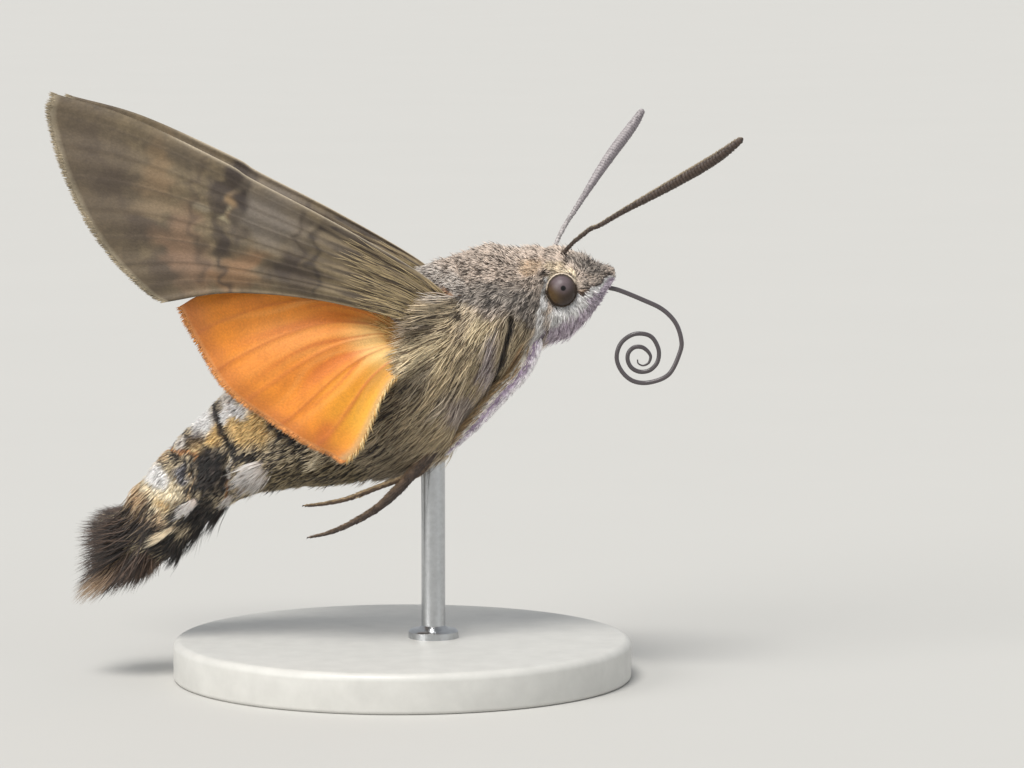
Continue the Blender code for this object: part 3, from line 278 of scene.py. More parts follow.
HIND_MARKS = (
    ((230, 150, 76), -4.9, 17.5, 2.3, 0.9, -6, 0.55), ((208, 108, 36), -3.4, 16.2, 2.2, 0.6, 18, 0.3),
    ((232, 142, 60), -6.6, 16.4, 1.6, 0.9, 30, 0.5), ((232, 156, 30), -2.5, 14.3, 1.2, 1.7, -25, 0.75),
    ((238, 172, 48), -1.75, 13.9, 0.6, 1.5, -28, 0.75), ((222, 168, 72), -0.7, 16.0, 1.2, 1.0, -35, 0.7),
    ((214, 186, 128), 0.3, 17.0, 1.0, 0.9, 0, 0.7), ((232, 198, 128), -0.9, 17.2, 1.6, 0.9, -20, 0.75),
    ((232, 148, 36), -2.9, 12.3, 0.6, 0.8, -20, 0.8), ((200, 100, 34), -3.7, 12.9, 0.4, 0.6, -30, 0.6),
    ((214, 132, 62), -10.2, 18.6, 0.8, 1.0, 20, 0.5),
)
# Tones that follow the wing's own directions rather than a place in the side view.
FORE_TONES = {
    "straw": (148, 130, 98), "streak": (58, 47, 38), "vein": (74, 62, 50), "leading edge": (206, 190, 164),
    "margin": (80, 67, 54), "fringe": (160, 148, 124),
}
HIND_TONES = {
    "ray": (192, 92, 26), "between rays": (242, 172, 92), "pale ray": (216, 168, 92), "vein": (176, 88, 30),
    "root": (206, 184, 136), "margin": (168, 92, 44), "fringe": (214, 150, 92), "inner edge": (206, 176, 126),
}

FORE = (FORE_EDGES, FORE_VEINS)
HIND = (HIND_EDGES, HIND_VEINS)
# Hairs that root in the body beside a wing: wing, number, reach, light and dark colour.
BRIDGING_HAIRS = (
    (FORE, 700, 3.4, (184, 162, 122), (92, 76, 58)),
    (HIND, 1100, 4.6, (228, 194, 132), (190, 148, 88)),
)
# Hairs that root on a wing: wing, number, reach, light and dark colour, where they root.
WING_HAIRS = (
    (FORE, 500, 3.6, (178, 158, 118), (88, 72, 54), (0.02, 0.26)),
    (HIND, 700, 3.8, (230, 190, 118), (212, 150, 76), (0.02, 0.24)),
)
# Fringes: wing, number, along the inner edge or not, light and dark colour, row on the bake map.
FRINGES = (
    (FORE, 2300, False, (162, 148, 122), (138, 124, 100), 0.2),
    (HIND, 1800, False, (222, 150, 80), (212, 136, 66), 0.5),
    (HIND, 600, True, (236, 206, 146), (214, 166, 92), 0.8),
)

# Feelers from the root outwards, and their radii at equal shares of the run.
FEELER_RIGHT = ((7.62, -0.45, 20.85), (7.84, -0.62, 21.17), (8.23, -1.00, 21.65), (8.57, -1.28, 22.02),
                (9.02, -1.50, 22.41), (9.41, -1.65, 22.71), (9.85, -1.80, 22.90), (11.08, -2.40, 23.68),
                (12.78, -3.20, 24.68), (14.70, -4.20, 25.87), (15.75, -4.80, 26.59), (16.75, -5.20, 27.39))
FEELER_LEFT = ((7.35, 0.60, 20.90), (7.78, 1.35, 21.90), (8.16, 2.16, 22.59), (8.77, 3.21, 23.44),
               (10.32, 5.83, 25.61), (11.65, 7.87, 27.25), (12.02, 8.45, 27.75), (12.24, 8.85, 28.08))
FEELER_RADII = (0.15, 0.095, 0.100, 0.115, 0.135, 0.175, 0.215, 0.250, 0.272, 0.272, 0.240, 0.150)
FEELER_SEGMENTS = 64
FEELER_SCALES = 1000
# The near feeler is brown and the far one grey: their sides, their top, and their share of the root's tone.
FEELER_TONES = (((66, 52, 43), (176, 160, 132), 0.0), ((126, 118, 121), (176, 170, 170), 1.0))
FEELER_ROOT = (206, 200, 196)

# The tongue in the middle plane, (x, z): its free length, then the coil.
TONGUE_FREE = ((9.55, 19.85), (10.30, 19.64), (10.89, 19.49), (12.04, 19.02), (12.99, 18.56),
               (13.64, 17.91), (13.94, 17.11))
COIL_CENTRE = (11.90, 16.12)
COIL_RADII = (2.03, 1.67, 1.34, 1.22, 1.14, 1.17, 1.20, 1.22, 1.20, 1.02, 0.90, 0.80, 0.71,
              0.66, 0.63, 0.63, 0.60, 0.54, 0.50, 0.53, 0.50, 0.42, 0.30, 0.16)
COIL_STEP = 38.0               # degrees from one radius of the coil to the next
COIL_START = 9.0
TONGUE_RADII = (0.140, 0.128)  # at the root and at the tip
TONGUE_RINGS = 220
TONGUE_TONE = (70, 64, 66)

# Right legs: routes from the body outwards, and their radii at equal shares of the run.
FORELEG = (
    (6.35, -0.80, 17.95), (6.60, -0.90, 17.14), (6.31, -0.95, 16.17), (5.84, -1.00, 15.42),
    (5.20, -1.05, 14.70), (4.50, -1.10, 13.90), (3.80, -1.15, 13.08), (2.95, -1.20, 12.18),
    (2.20, -1.25, 11.40),
)
FORELEG_RADII = (0.36, 0.46, 0.50, 0.49, 0.46, 0.40, 0.33, 0.22, 0.08)
MIDLEG = (
    (2.90, -0.90, 13.40), (2.15, -1.10, 12.40), (1.44, -1.50, 11.50), (0.42, -2.05, 10.42),
    (-0.24, -2.35, 9.74), (-1.23, -2.38, 8.85), (-2.47, -2.32, 8.11), (-3.61, -2.26, 7.61),
    (-4.62, -2.20, 7.36),
)
MIDLEG_RADII = (0.25, 0.32, 0.37, 0.30, 0.25, 0.20, 0.155, 0.105, 0.04)
HINDLEG = (
    (2.00, -1.20, 12.60), (1.10, -1.75, 10.75), (0.13, -1.90, 10.30), (-1.46, -1.80, 9.72),
    (-2.81, -1.70, 9.22), (-3.96, -1.65, 8.98), (-4.86, -1.60, 8.88),
)
HINDLEG_RADII = (0.17, 0.18, 0.155, 0.14, 0.12, 0.09, 0.04)
LEG_JOINTS = (0.46, 0.70, 0.79, 0.86, 0.92)    # shares of the leg's run where it is pinched
LEG_FRINGE = (204, 172, 130)
# Legs: name, route, radii, bands, spurs, hairs of the fringe, how much lower the left one's outer half hangs.
# A band is a place round the leg and its colour: 1 is the edge towards the body or upwards, -1 the outer or
# lower edge.  A spur is its place on the leg's run, its lean and its length.
LEGS = (
    ("foreleg", FORELEG, FORELEG_RADII,
     ((-1.0, (252, 248, 248)), (-0.50, (244, 236, 242)), (-0.34, (166, 146, 168)), (0.0, (158, 138, 162)),
      (0.14, (240, 232, 222)), (0.7, (244, 236, 222)), (1.0, (222, 198, 164))), (), 420, 0.0),
    ("midleg", MIDLEG, MIDLEG_RADII,
     ((-1.0, (66, 53, 46)), (0.1, (78, 63, 52)), (0.7, (112, 92, 74)), (1.0, (140, 118, 94))),
     ((0.70, (0.0, 0.5, -0.5), 0.55), (0.70, (0.0, -0.5, -0.4), 0.45)), 0, 0.58),
    ("hindleg", HINDLEG, HINDLEG_RADII,
     ((-1.0, (80, 63, 51)), (0.1, (108, 87, 68)), (0.5, (182, 156, 122)), (1.0, (208, 184, 146))),
     ((0.66, (0.0, 0.5, -0.5), 0.45), (0.66, (0.0, -0.4, -0.5), 0.4)), 0, 0.44),
)

# Brushes at the sides of the abdomen in the side view: root (x, z), tip (x, z), half width of the root,
# half fan in degrees, lift, hairs, coat.
SIDE_BRUSHES = (
    (-6.55, 11.10, -8.55, 9.95, 0.30, 24, 0.50, 480, "snow"),
    (-8.44, 9.51, -9.20, 8.80, 0.12, 12, 0.25, 150, "snow"),
    (-10.12, 9.25, -11.38, 8.44, 0.18, 9, 0.30, 260, "snow"),
    (-11.17, 8.04, -13.15, 6.88, 0.10, 5, 0.36, 240, "cream"),
    (-8.60, 8.80, -10.10, 7.30, 0.35, 12, 0.20, 200, "soot"),
    (-9.90, 8.20, -11.20, 6.40, 0.40, 14, 0.25, 220, "soot"),
    (-11.00, 7.60, -12.20, 5.60, 0.40, 16, 0.30, 220, "soot"),
)
BRUSH_LEANS = np.linspace(-1.0, 1.0, 7)
BRUSH_REACH = (0.62, 0.82, 0.97, 1.0, 1.08, 0.98, 0.66)    # hair length from the top of the fan down

# Tail brush: tilt above the body's end line, half spread to the sides, reach from its middle.
TAIL_CENTRE = (-12.90, 7.50)
TAIL_AIM = (-16.45, 4.60)      # the end line runs from the centre to here
TAIL_FAN = (
    (-96.0, 20.0, 1.40), (-80.0, 26.0, 1.75), (-66.0, 30.0, 2.15), (-52.0, 32.0, 2.75),
    (-31.0, 46.0, 3.50), (-17.0, 40.0, 4.20), (-10.0, 16.0, 5.10), (-5.0, 13.0, 5.15), (6.0, 42.0, 4.05),
    (19.0, 46.0, 3.75), (39.0, 46.0, 3.45), (51.0, 40.0, 3.20), (61.0, 34.0, 2.65), (78.0, 26.0, 1.80),
    (92.0, 20.0, 1.50),
)
TAIL_HAIRS = 6800
TAIL_TONES = {"dark": (50, 42, 38), "brown": (92, 74, 62), "top": (116, 92, 72), "tip": (188, 160, 130)}

# Hairs
SHOULDER_HAIRS = 1400
ROOT_DEPTH = 0.05              # how far the coat's hairs root below the skin
# Hairs of 3, 4 or 5 joints, the last of them the tip: width at the others as shares of the hair's width.
STRAND_WIDTHS = {3: (0.80, 1.0), 4: (0.70, 1.0, 0.72), 5: (0.65, 1.0, 0.90, 0.60)}
PATCH = 0.003                  # size of one hair's patch on the bake map
HAIR_WIDTHS = {
    "shoulder": 0.050, "brush": 0.032, "tail": 0.060, "wing root": 0.042, "wing fringe": 0.036,
    "feeler": 0.045, "leg": 0.046, "leg fringe": 0.055, "spur": 0.12, "claw": 0.06,
}

# Stand
BASE_RADIUS = 11.5
BASE_HEIGHT = 2.0
BASE_ROUNDING = 0.4
ROD_X = 1.55                   # the rod stands under the thorax, ahead of the base's middle
ROD_RADIUS = 0.60
ROD_TOP = 11.6                 # inside the body

# Floor, light and camera
FLOOR_REACH = 4000.0
SKY_COLOUR = (0.93, 0.96, 1.0, 1.0)
SKY_STRENGTH = 0.52
LAMP_DISTANCE = 400.0
# Lamps: name, where it stands, spread in degrees, strength, colour.
LAMPS = (
    ("key", (-0.22, -0.42, 0.88), 24, 2.6, (1.0, 0.97, 0.93)),
    ("side", (-0.78, -0.58, 0.38), 36, 1.5, (1.0, 0.98, 0.95)),
    ("fill", (0.75, -0.55, 0.35), 40, 0.35, (0.94, 0.97, 1.0)),
)
AIM = (5.5, 0.0, 14.8)
DISTANCE = 250.0
ELEVATION = 6.0
PIXELS_PER_MM = 20.0
PICTURE_WIDTH = 1024


def linear(colour):
    """Screen colour 0-255 to linear light."""
    c = np.asarray(colour, dtype=float) / 255.0
    return np.where(c <= 0.04045, c / 12.92, ((c + 0.055) / 1.055) ** 2.4)


def smooth(x):
    """0 below 0, 1 above 1 and an S between."""
    x = np.clip(x, 0.0, 1.0)
    return x * x * (3.0 - 2.0 * x)


def unit(v):
    """The same direction with a length of 1."""
    return v / np.maximum(np.linalg.norm(v, axis=-1, keepdims=True), 1e-9)


def between(table, t):
    """Rows of a table read at fractional row numbers: the cubic through the four nearest rows."""
    rows = np.asarray(table, dtype=float)
    count = len(rows)
    rows = np.concatenate((2 * rows[:1] - rows[1:2], rows, 2 * rows[-1:] - rows[-2:-1]))
    t = np.asarray(t, dtype=float)
    i = np.clip(np.floor(t).astype(int), 0, count - 2)
    f = (t - i)[..., None]
    a, b, c, d = rows[i], rows[i + 1], rows[i + 2], rows[i + 3]
    return 0.5 * (2 * b + (c - a) * f + (2 * a - 5 * b + 4 * c - d) * f ** 2
                  + (3 * b - a - 3 * c + d) * f ** 3)


def even(points, count):
    """The smooth curve through the points, with its own points equally far apart."""
    fine = between(points, np.linspace(0, len(points) - 1, 400))
    run = np.concatenate(([0.0], np.cumsum(np.linalg.norm(np.diff(fine, axis=0), axis=1))))
    where = np.linspace(0, run[-1], count)
    return np.stack([np.interp(where, run, fine[:, k]) for k in range(fine.shape[1])], axis=1)


def waves(places, size, seed):
    """Soft irregular mottling between about -1 and 1: the sum of sines in random directions."""
    rng = np.random.default_rng(seed)
    total = np.zeros(places.shape[:-1])
    for _ in range(7):
        way = unit(rng.normal(size=places.shape[-1]))
        total += np.sin(places @ way * (2 * math.pi / size) * rng.uniform(0.6, 1.6) + rng.uniform(0, 6.3))
    return total / 2.6


def off_line(x, z, line):
    """Distance from places (x, z) to a line of several points."""
    near = np.full(np.shape(x), 1e9)
    for (ax, az), (bx, bz) in zip(line, line[1:]):
        dx, dz = bx - ax, bz - az
        t = np.clip(((x - ax) * dx + (z - az) * dz) / (dx * dx + dz * dz), 0, 1)
        near = np.minimum(near, np.hypot(x - ax - t * dx, z - az - t * dz))
    return near


def in_oval(x, z, cx, cz, rx, rz, tilt, soft=0.7):
    """1 inside a tilted oval, falling to 0 outside it over a share of its size."""
    c, s = math.cos(math.radians(tilt)), math.sin(math.radians(tilt))
    a = ((x - cx) * c + (z - cz) * s) / rx
    b = (-(x - cx) * s + (z - cz) * c) / rz
    return smooth((1.0 + soft / 2 - np.hypot(a, b)) / soft)


# The body's surface

def oval(s, turn, lift):
    """Ring number s, turn in half turns from the left side over the back: the oval of that ring."""
    row = between(BODY_RINGS, s)
    middle = (row[..., 0:2] + row[..., 2:4]) / 2
    half = (row[..., 0:2] - row[..., 2:4]) / 2
    tall = np.linalg.norm(half, axis=-1)
    up = half / tall[..., None]
    sunk = lift - np.minimum(COAT_DEPTH, THIN_SHARE * tall)
    along = (tall + sunk) * np.sin(np.pi * turn)
    across = (row[..., 4] + sunk) * np.cos(np.pi * turn)
    return np.stack((middle[..., 0] + up[..., 0] * along, across, middle[..., 1] + up[..., 1] * along),
                    axis=-1)


def folds(places):
    """How far the skin lies above its plain ovals: grooves, segment joins and the hollow round each eye."""
    x, y, z = places[..., 0], np.abs(places[..., 1]), places[..., 2]
    rise = np.zeros(x.shape)
    for depth, width, line in FOLDS:
        rise -= depth * np.exp(-(off_line(x, z, line) / width) ** 2)
    to_eye = np.hypot(x - EYE_CENTRE[0], z - EYE_CENTRE[2])
    hollow = smooth((SOCKET_EDGE - to_eye) / (SOCKET_EDGE - SOCKET_RADIUS)) * (y > 0.6)
    rise -= np.clip(y - SOCKET_SIDE, 0, None) * hollow
    swell = smooth((-5.0 - x) / 3.0)
    return rise + 0.05 * swell * waves(places, 2.4, 5)


def skin(s, turn, lift=0.0):
    """A point at a height over the skin."""
    plain = oval(s, turn, lift)
    return oval(s, turn, lift + folds(plain))


def combed(x, z):
    """Direction, length and height of the coat at a place in the side view, from the nearest rows of COMB."""
    rows = np.array(COMB)
    far = (x[:, None] - rows[None, :, 0]) ** 2 + (z[:, None] - rows[None, :, 1]) ** 2
    weight = 1.0 / (far + 0.03) ** 2.2
    weight /= weight.sum(axis=1, keepdims=True)
    ways = rows[:, 2:4] / np.linalg.norm(rows[:, 2:4], axis=1, keepdims=True)
    way = weight @ ways
    way /= np.linalg.norm(way, axis=1, keepdims=True) + 1e-9
    return way, weight @ rows[:, 4], weight @ rows[:, 5]


def coat_colours(x, z):
    """Light hairs, dark hairs and share of dark ones at places in the side view."""
    def channels(name):
        """A coat's light hairs, dark hairs and share of dark ones in one row."""
        light, dark, share = COATS[name]
        return np.concatenate((linear(light), linear(dark), (share,)))

    spot = np.stack((x, z), axis=-1)
    x = x + 0.10 * waves(spot, 0.9, 31)
    z = z + 0.10 * waves(spot, 0.9, 32)
    tint = np.tile(channels("ash"), (len(x), 1))

    def blend(name, weight):
        """Draws the colours towards a coat's."""
        nonlocal tint
        tint = tint + (channels(name) - tint) * weight[:, None]

    blend("grizzle", smooth((-0.8 - x) / 1.6) * smooth((19.0 - z) / 1.5))
    for name, cx, cz, rx, rz, tilt, strength in BODY_MARKS:
        blend(name, strength * in_oval(x, z, cx, cz, rx, rz, tilt))
    border = np.interp(x, FACE_X, FACE_Z)
    chin = np.interp(x, CHIN_X, CHIN_Z)
    lower = smooth((border - z) / 0.12) * smooth((x - 7.2) / 0.2)
    blend("snow", lower)
    height = (z - chin) / np.maximum(border - chin, 0.2)
    blend("mauve", lower * smooth((0.55 + 0.15 * smooth((x - 9.0) / 0.8) - height) / 0.25) * 0.9)
    dx, dz = x - EYE_CENTRE[0], z - EYE_CENTRE[2]
    ring = np.exp(-((np.hypot(dx, dz) - 0.90) / 0.09) ** 2)
    around = np.degrees(np.arctan2(dz, dx))
    blend("cream", ring * smooth((around - 15) / 20) * smooth((186 - around) / 10) * 0.95)
    for name, width, strength, line in BODY_LINES:
        blend(name, strength * smooth((1.6 - off_line(x, z, line) / width) / 0.9))
    return tint[:, 0:3], tint[:, 3:6], tint[:, 6]


# Meshes

def new_mesh(name, points, quads, triangles=None, tint=None, maps=None):
    """A mesh object from arrays: points in millimetres, faces, a colour and flat maps for each point."""
    mesh = bpy.data.meshes.new(name)
    points = np.ascontiguousarray(points, dtype=np.float32).reshape(-1, 3)
    quads = np.asarray(quads, dtype=np.int32).reshape(-1, 4)
    triangles = np.asarray(triangles if triangles is not None else [], dtype=np.int32).reshape(-1, 3)
    corners = np.concatenate((quads.ravel(), triangles.ravel()))
    starts = np.concatenate((np.arange(len(quads)) * 4, len(quads) * 4 + np.arange(len(triangles)) * 3))
    mesh.vertices.add(len(points))
    mesh.vertices.foreach_set("co", (points * MM).ravel())
    mesh.loops.add(len(corners))
    mesh.loops.foreach_set("vertex_index", corners)
    mesh.polygons.add(len(starts))
    mesh.polygons.foreach_set("loop_start", starts.astype(np.int32))
    mesh.update(calc_edges=True)
    mesh.validate()
    mesh.shade_smooth()
    if tint is not None:
        full = np.ones((len(points), 4), dtype=np.float32)
        full[:, :3] = np.asarray(tint).reshape(-1, 3)
        layer = mesh.color_attributes.new("Tint", "FLOAT_COLOR", "POINT")
        layer.data.foreach_set("color", full.ravel())
    for label, flat in (maps or {}).items():
        layer = mesh.uv_layers.new(name=label)
        layer.data.foreach_set("uv", np.asarray(flat, dtype=np.float32).reshape(-1, 2)[corners].ravel())
    obj = bpy.data.objects.new(name, mesh)
    bpy.context.scene.collection.objects.link(obj)
    return obj


def finish_piece(obj, mat, finish, *nodes):
    """Gives a piece its material, its body and the nodes that it stands for; finish is not used."""
    obj.data.materials.append(mat)
    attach(obj, "root")
    if nodes:
        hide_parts(*nodes)


def grid_faces(rows, cols, closed=False):
    """Four-cornered faces of a grid of rows by columns, whose columns may close into a loop."""
    r, c = np.meshgrid(np.arange(rows - 1), np.arange(cols if closed else cols - 1), indexing="ij")
    d = (c + 1) % cols
    corners = (r * cols + c, r * cols + d, (r + 1) * cols + d, (r + 1) * cols + c)
    return np.stack(corners, axis=-1).reshape(-1, 4)


def turned_out(obj):
    """Turns a closed mesh's faces outwards if its volume comes out negative."""
    mesh = obj.data
    mesh.calc_loop_triangles()
    corners = np.empty(len(mesh.loop_triangles) * 3, dtype=np.int32)
    mesh.loop_triangles.foreach_get("vertices", corners)
    points = np.empty(len(mesh.vertices) * 3)
    mesh.vertices.foreach_get("co", points)
    a, b, c = np.moveaxis(points.reshape(-1, 3)[corners.reshape(-1, 3)], 1, 0)
    if np.einsum("ij,ij->i", a, np.cross(b, c)).sum() < 0:
        mesh.flip_normals()
    return obj


def closed_form(name, points, rows, cols, tint=None, maps=None):
    """A closed mesh: rows of loops, and two points after them that close its ends with fans of triangles."""
    c = np.arange(cols)
    d = (c + 1) % cols
    n = rows * cols
    caps = np.concatenate((np.stack((np.full(cols, n), d, c), axis=1),
                           np.stack((np.full(cols, n + 1), n - cols + c, n - cols + d), axis=1)))
    return turned_out(new_mesh(name, points, grid_faces(rows, cols, closed=True), caps, tint, maps))


def with_ends(values):
    """Adds the first and the last row once more, for the two end points of a closed form."""
    return np.vstack((values, values[:1], values[-1:]))


def axes_along(route):
    """Directions along a route, to its side and upwards, at each of its points."""
    ahead = unit(np.gradient(route, axis=0))
    side = unit(np.cross((0.0, 1.0, 0.0), ahead))
    return ahead, side, np.cross(ahead, side)


def tube(name, route, radii, tint):
    """A closed tube round a route; radii and tint have a row for each loop and a column for each turn."""
    rows, around = radii.shape
    _, side, up = axes_along(route)
    turn = 2 * np.pi * np.arange(around) / around
    ring = (np.cos(turn)[None, :, None] * side[:, None] + np.sin(turn)[None, :, None] * up[:, None])
    points = with_ends((route[:, None] + ring * radii[..., None]).reshape(-1, 3))
    points[-2:] = route[[0, -1]]
    run, bend = np.meshgrid(np.linspace(0, 1, rows), np.arange(around) / around, indexing="ij")
    flat = with_ends(np.stack((run, bend), axis=-1).reshape(-1, 2))
    return closed_form(name, points, rows, around, with_ends(tint.reshape(-1, 3)), {"Run": flat})


def strands(name, path, outward, width, root_tint, tip_tint, spot, finish, thick=0.5):
    """Three-sided blades drawn to a tip along each path, one closed form each, joined in one mesh."""
    count, joints = path.shape[:2]
    last = joints - 1
    run = np.gradient(path, axis=1)
    side = unit(np.cross(run, outward))
    flat = unit(np.cross(side, run))
    wide = width[:, None] * np.array(STRAND_WIDTHS[joints])
    p, s, f, w = path[:, :last], side[:, :last], flat[:, :last], wide[..., None]
    rings = np.stack((p - s * w / 2, p + s * w / 2, p + f * w * thick), axis=2)
    points = np.concatenate((rings.reshape(count, last * 3, 3), path[:, last:]), axis=1)
    each = 3 * last + 1
    share = np.concatenate((np.repeat(np.arange(last) / last, 3), (1.0,))) ** 0.7
    tint = root_tint[:, None] + (tip_tint - root_tint)[:, None] * share[None, :, None]
    corner = np.concatenate((np.tile((0.0, 1.0, 0.5), last), (0.5,))) - 0.5
    along = np.concatenate((np.repeat(np.arange(last) / last, 3), (1.0,))) - 0.5
    bake = spot[:, None] + PATCH * np.stack((corner, along), axis=1)[None]
    quads = [(3 * j + k, 3 * j + 3 + k, 3 * j + 3 + (k + 1) % 3, 3 * j + (k + 1) % 3)
             for j in range(last - 1) for k in range(3)]
    tips = [(3 * last - 3 + k, 3 * last, 3 * last - 3 + (k + 1) % 3) for k in range(3)] + [(0, 1, 2)]
    start = (np.arange(count) * each)[:, None, None]
    obj = new_mesh(name, points, np.array(quads) + start, np.array(tips) + start, tint, {"OFBake": bake})
    finish_piece(obj, HAIR, finish)


def clump(path, where, size, pull, seed):
    """Draws the tips of hairs that root close together into locks."""
    warp = np.stack([waves(where, 2.3 * size, seed + k) for k in range(where.shape[1])], axis=1)
    cells = np.floor(where / size + 0.45 * warp).astype(np.int64)
    _, group = np.unique(cells, axis=0, return_inverse=True)
    group = group.ravel()
    members = np.bincount(group).astype(float)
    last = path.shape[1] - 1
    for j in range(1, last + 1):
        middle = np.stack([np.bincount(group, path[:, j, k]) / members for k in range(3)], axis=1)
        path[:, j] += (middle[group] - path[:, j]) * pull * (j / last) ** 1.3
    return group


def picked_tints(places, group, rng):
    """Colour of each hair: light or dark by the coat's share, with locks and hairs a little apart."""
    light, dark, share = coat_colours(places[:, 0], places[:, 2])
    side = np.stack((places[:, 0], places[:, 2], places[:, 1]), axis=1)
    share = np.clip(share * (1.0 + 0.75 * waves(side, 0.55, 71)), 0.03, 0.97)
    is_dark = smooth((share - rng.random(len(places))) / 0.10 + 0.5)[:, None]
    tint = light + (dark - light) * is_dark
    tone = 1.0 + 0.14 * rng.normal(size=len(places))
    tone *= 1.0 + 0.10 * rng.normal(size=group.max() + 1)[group]
    return tint * np.clip(tone, 0.5, 1.5)[:, None]


def two_tone(rng, count, light, dark, share, least, most):
    """Colour of each hair: light, or dark for a share of them, times a tone from least to most."""
    is_dark = (rng.random(count) < share)[:, None]
    return np.where(is_dark, linear(dark), linear(light)) * rng.uniform(least, most, count)[:, None]


def march(s, turn, way_of, length, rise, joints):
    """Carries hairs over the skin in steps along the combed direction, and straight on past its end."""
    small = 0.01
    end = len(BODY_RINGS) - 1
    beyond = np.zeros(len(s))
    path, outward = [], []
    for j in range(joints):
        height = -ROOT_DEPTH + (rise + ROOT_DEPTH) * (j / (joints - 1)) ** 0.75
        here = skin(s, turn, height)
        ahead = (skin(s + small, turn, height) - here) / small
        round_ = (skin(s, turn + small, height) - here) / small
        out = unit(np.cross(ahead, round_))
        here = here + ahead * beyond[:, None]
        path.append(here)
        outward.append(out)
        if j == joints - 1:
            break
        way = way_of(here, j)
        aim = unit(way - out * (way * out).sum(-1, keepdims=True)) * (length / (joints - 1))[:, None]
        aa, ab, bb = (ahead * ahead).sum(-1), (ahead * round_).sum(-1), (round_ * round_).sum(-1)
        pa, pb = (ahead * aim).sum(-1), (round_ * aim).sum(-1)
        det = np.maximum(aa * bb - ab * ab, 1e-6)
        s = s + (pa * bb - pb * ab) / det
        beyond += np.clip(s - end, 0.0, None)
        s = np.clip(s, -0.45, end)
        turn = turn + (pb * aa - pa * ab) / det
    return np.stack(path, axis=1), np.stack(outward, axis=1)


def grow(name, seed, rings, turns, count, width, finish, sway, lock, shade, joints=3, longer=1.0, higher=1.0,
         keep=None, size=None, curl=0.0):
    """A coat of hairs on the skin between two ring numbers and two turns.

    Longer and higher stretch the combed length and rise, and size sets both outright.  Sway is how far the
    hairs stray from the combed direction, curl how far they bend off it on their way, lock the size of a lock
    and its pull, and shade the colour of the roots as a share of the tips' colour, which is painted shade
    deep in the coat.
    """
    rng = np.random.default_rng(seed)
    tries = (3 if keep is None else 9) * count
    s, turn = rng.uniform(*rings, tries), rng.uniform(*turns, tries)
    small = 0.02
    here = skin(s, turn)
    area = np.linalg.norm(np.cross(skin(s + small, turn) - here, skin(s, turn + small) - here), axis=1)
    off_eye = np.hypot((here[:, 0] - EYE_CENTRE[0]) / EYE_RADII[0],
                       (here[:, 2] - EYE_CENTRE[2]) / EYE_RADII[2])
    area = area * ((off_eye > 1.03) | (np.abs(here[:, 1]) < 0.6))
    if keep is not None:
        area = area * keep(here)
    picked = rng.choice(tries, count, replace=False, p=area / area.sum())
    s, turn, here = s[picked], turn[picked], here[picked]
    _, length, rise = combed(here[:, 0], here[:, 2])
    if size is not None:
        length, rise = np.full(count, size[0]), np.full(count, size[1])
    length = length * longer * rng.uniform(0.7, 1.2, count)
    rise = rise * higher * rng.uniform(0.45, 1.2, count)
    rise[rng.random(count) < 0.07] *= 1.9
    veer = rng.normal(size=count) * sway
    aside = rng.normal(size=count) * sway
    bend = rng.normal(size=count) * curl

    def way_of(place, step):
        """The combed direction, with each hair's own lean in the side view and to the side."""
        way, _, _ = combed(place[:, 0], place[:, 2])
        lean = veer + bend * step
        return np.stack((way[:, 0] * np.cos(lean) - way[:, 1] * np.sin(lean), aside,
                         way[:, 0] * np.sin(lean) + way[:, 1] * np.cos(lean)), axis=1)

    path, outward = march(s, turn, way_of, length, rise, joints)
    group = clump(path, here, lock[0], lock[1], seed + 7)
    tip = picked_tints(path[:, joints // 2], group, rng)
    wide = width * rng.uniform(0.75, 1.25, count)
    spot = np.stack(((s - rings[0]) / (rings[1] - rings[0]), (turn - turns[0]) / (turns[1] - turns[0])),
                    axis=1)
    # Roots at shade times the tips' colour: painted shade deep in the coat.
    strands(name, path, outward, wide, tip * shade, tip, np.clip(spot, 0, 1) * 0.99 + 0.005, finish)


# Materials

def set_inputs(tree, node, inputs):
    """Sets a node's inputs by name or number: to a plain value, or linked to another node's output."""
    for name, value in inputs.items():
        if isinstance(value, bpy.types.NodeSocket):
            tree.links.new(value, node.inputs[name])
        else:
            node.inputs[name].default_value = value


def add_node(tree, kind, inputs=None, **settings):
    """A new node with its settings and its inputs; returns its outputs."""
    node = tree.nodes.new(kind)
    for name, value in settings.items():
        setattr(node, name, value)
    set_inputs(tree, node, inputs or {})
    return node.outputs


def new_material(name):
    """A new material and its node tree."""
    mat = bpy.data.materials.new(name)
    mat.use_nodes = True
    return mat, mat.node_tree


def dressed(mat, tree, look):
    """Gives the material's shader its look and returns the material."""
    set_inputs(tree, tree.nodes["Principled BSDF"], look)
    return mat


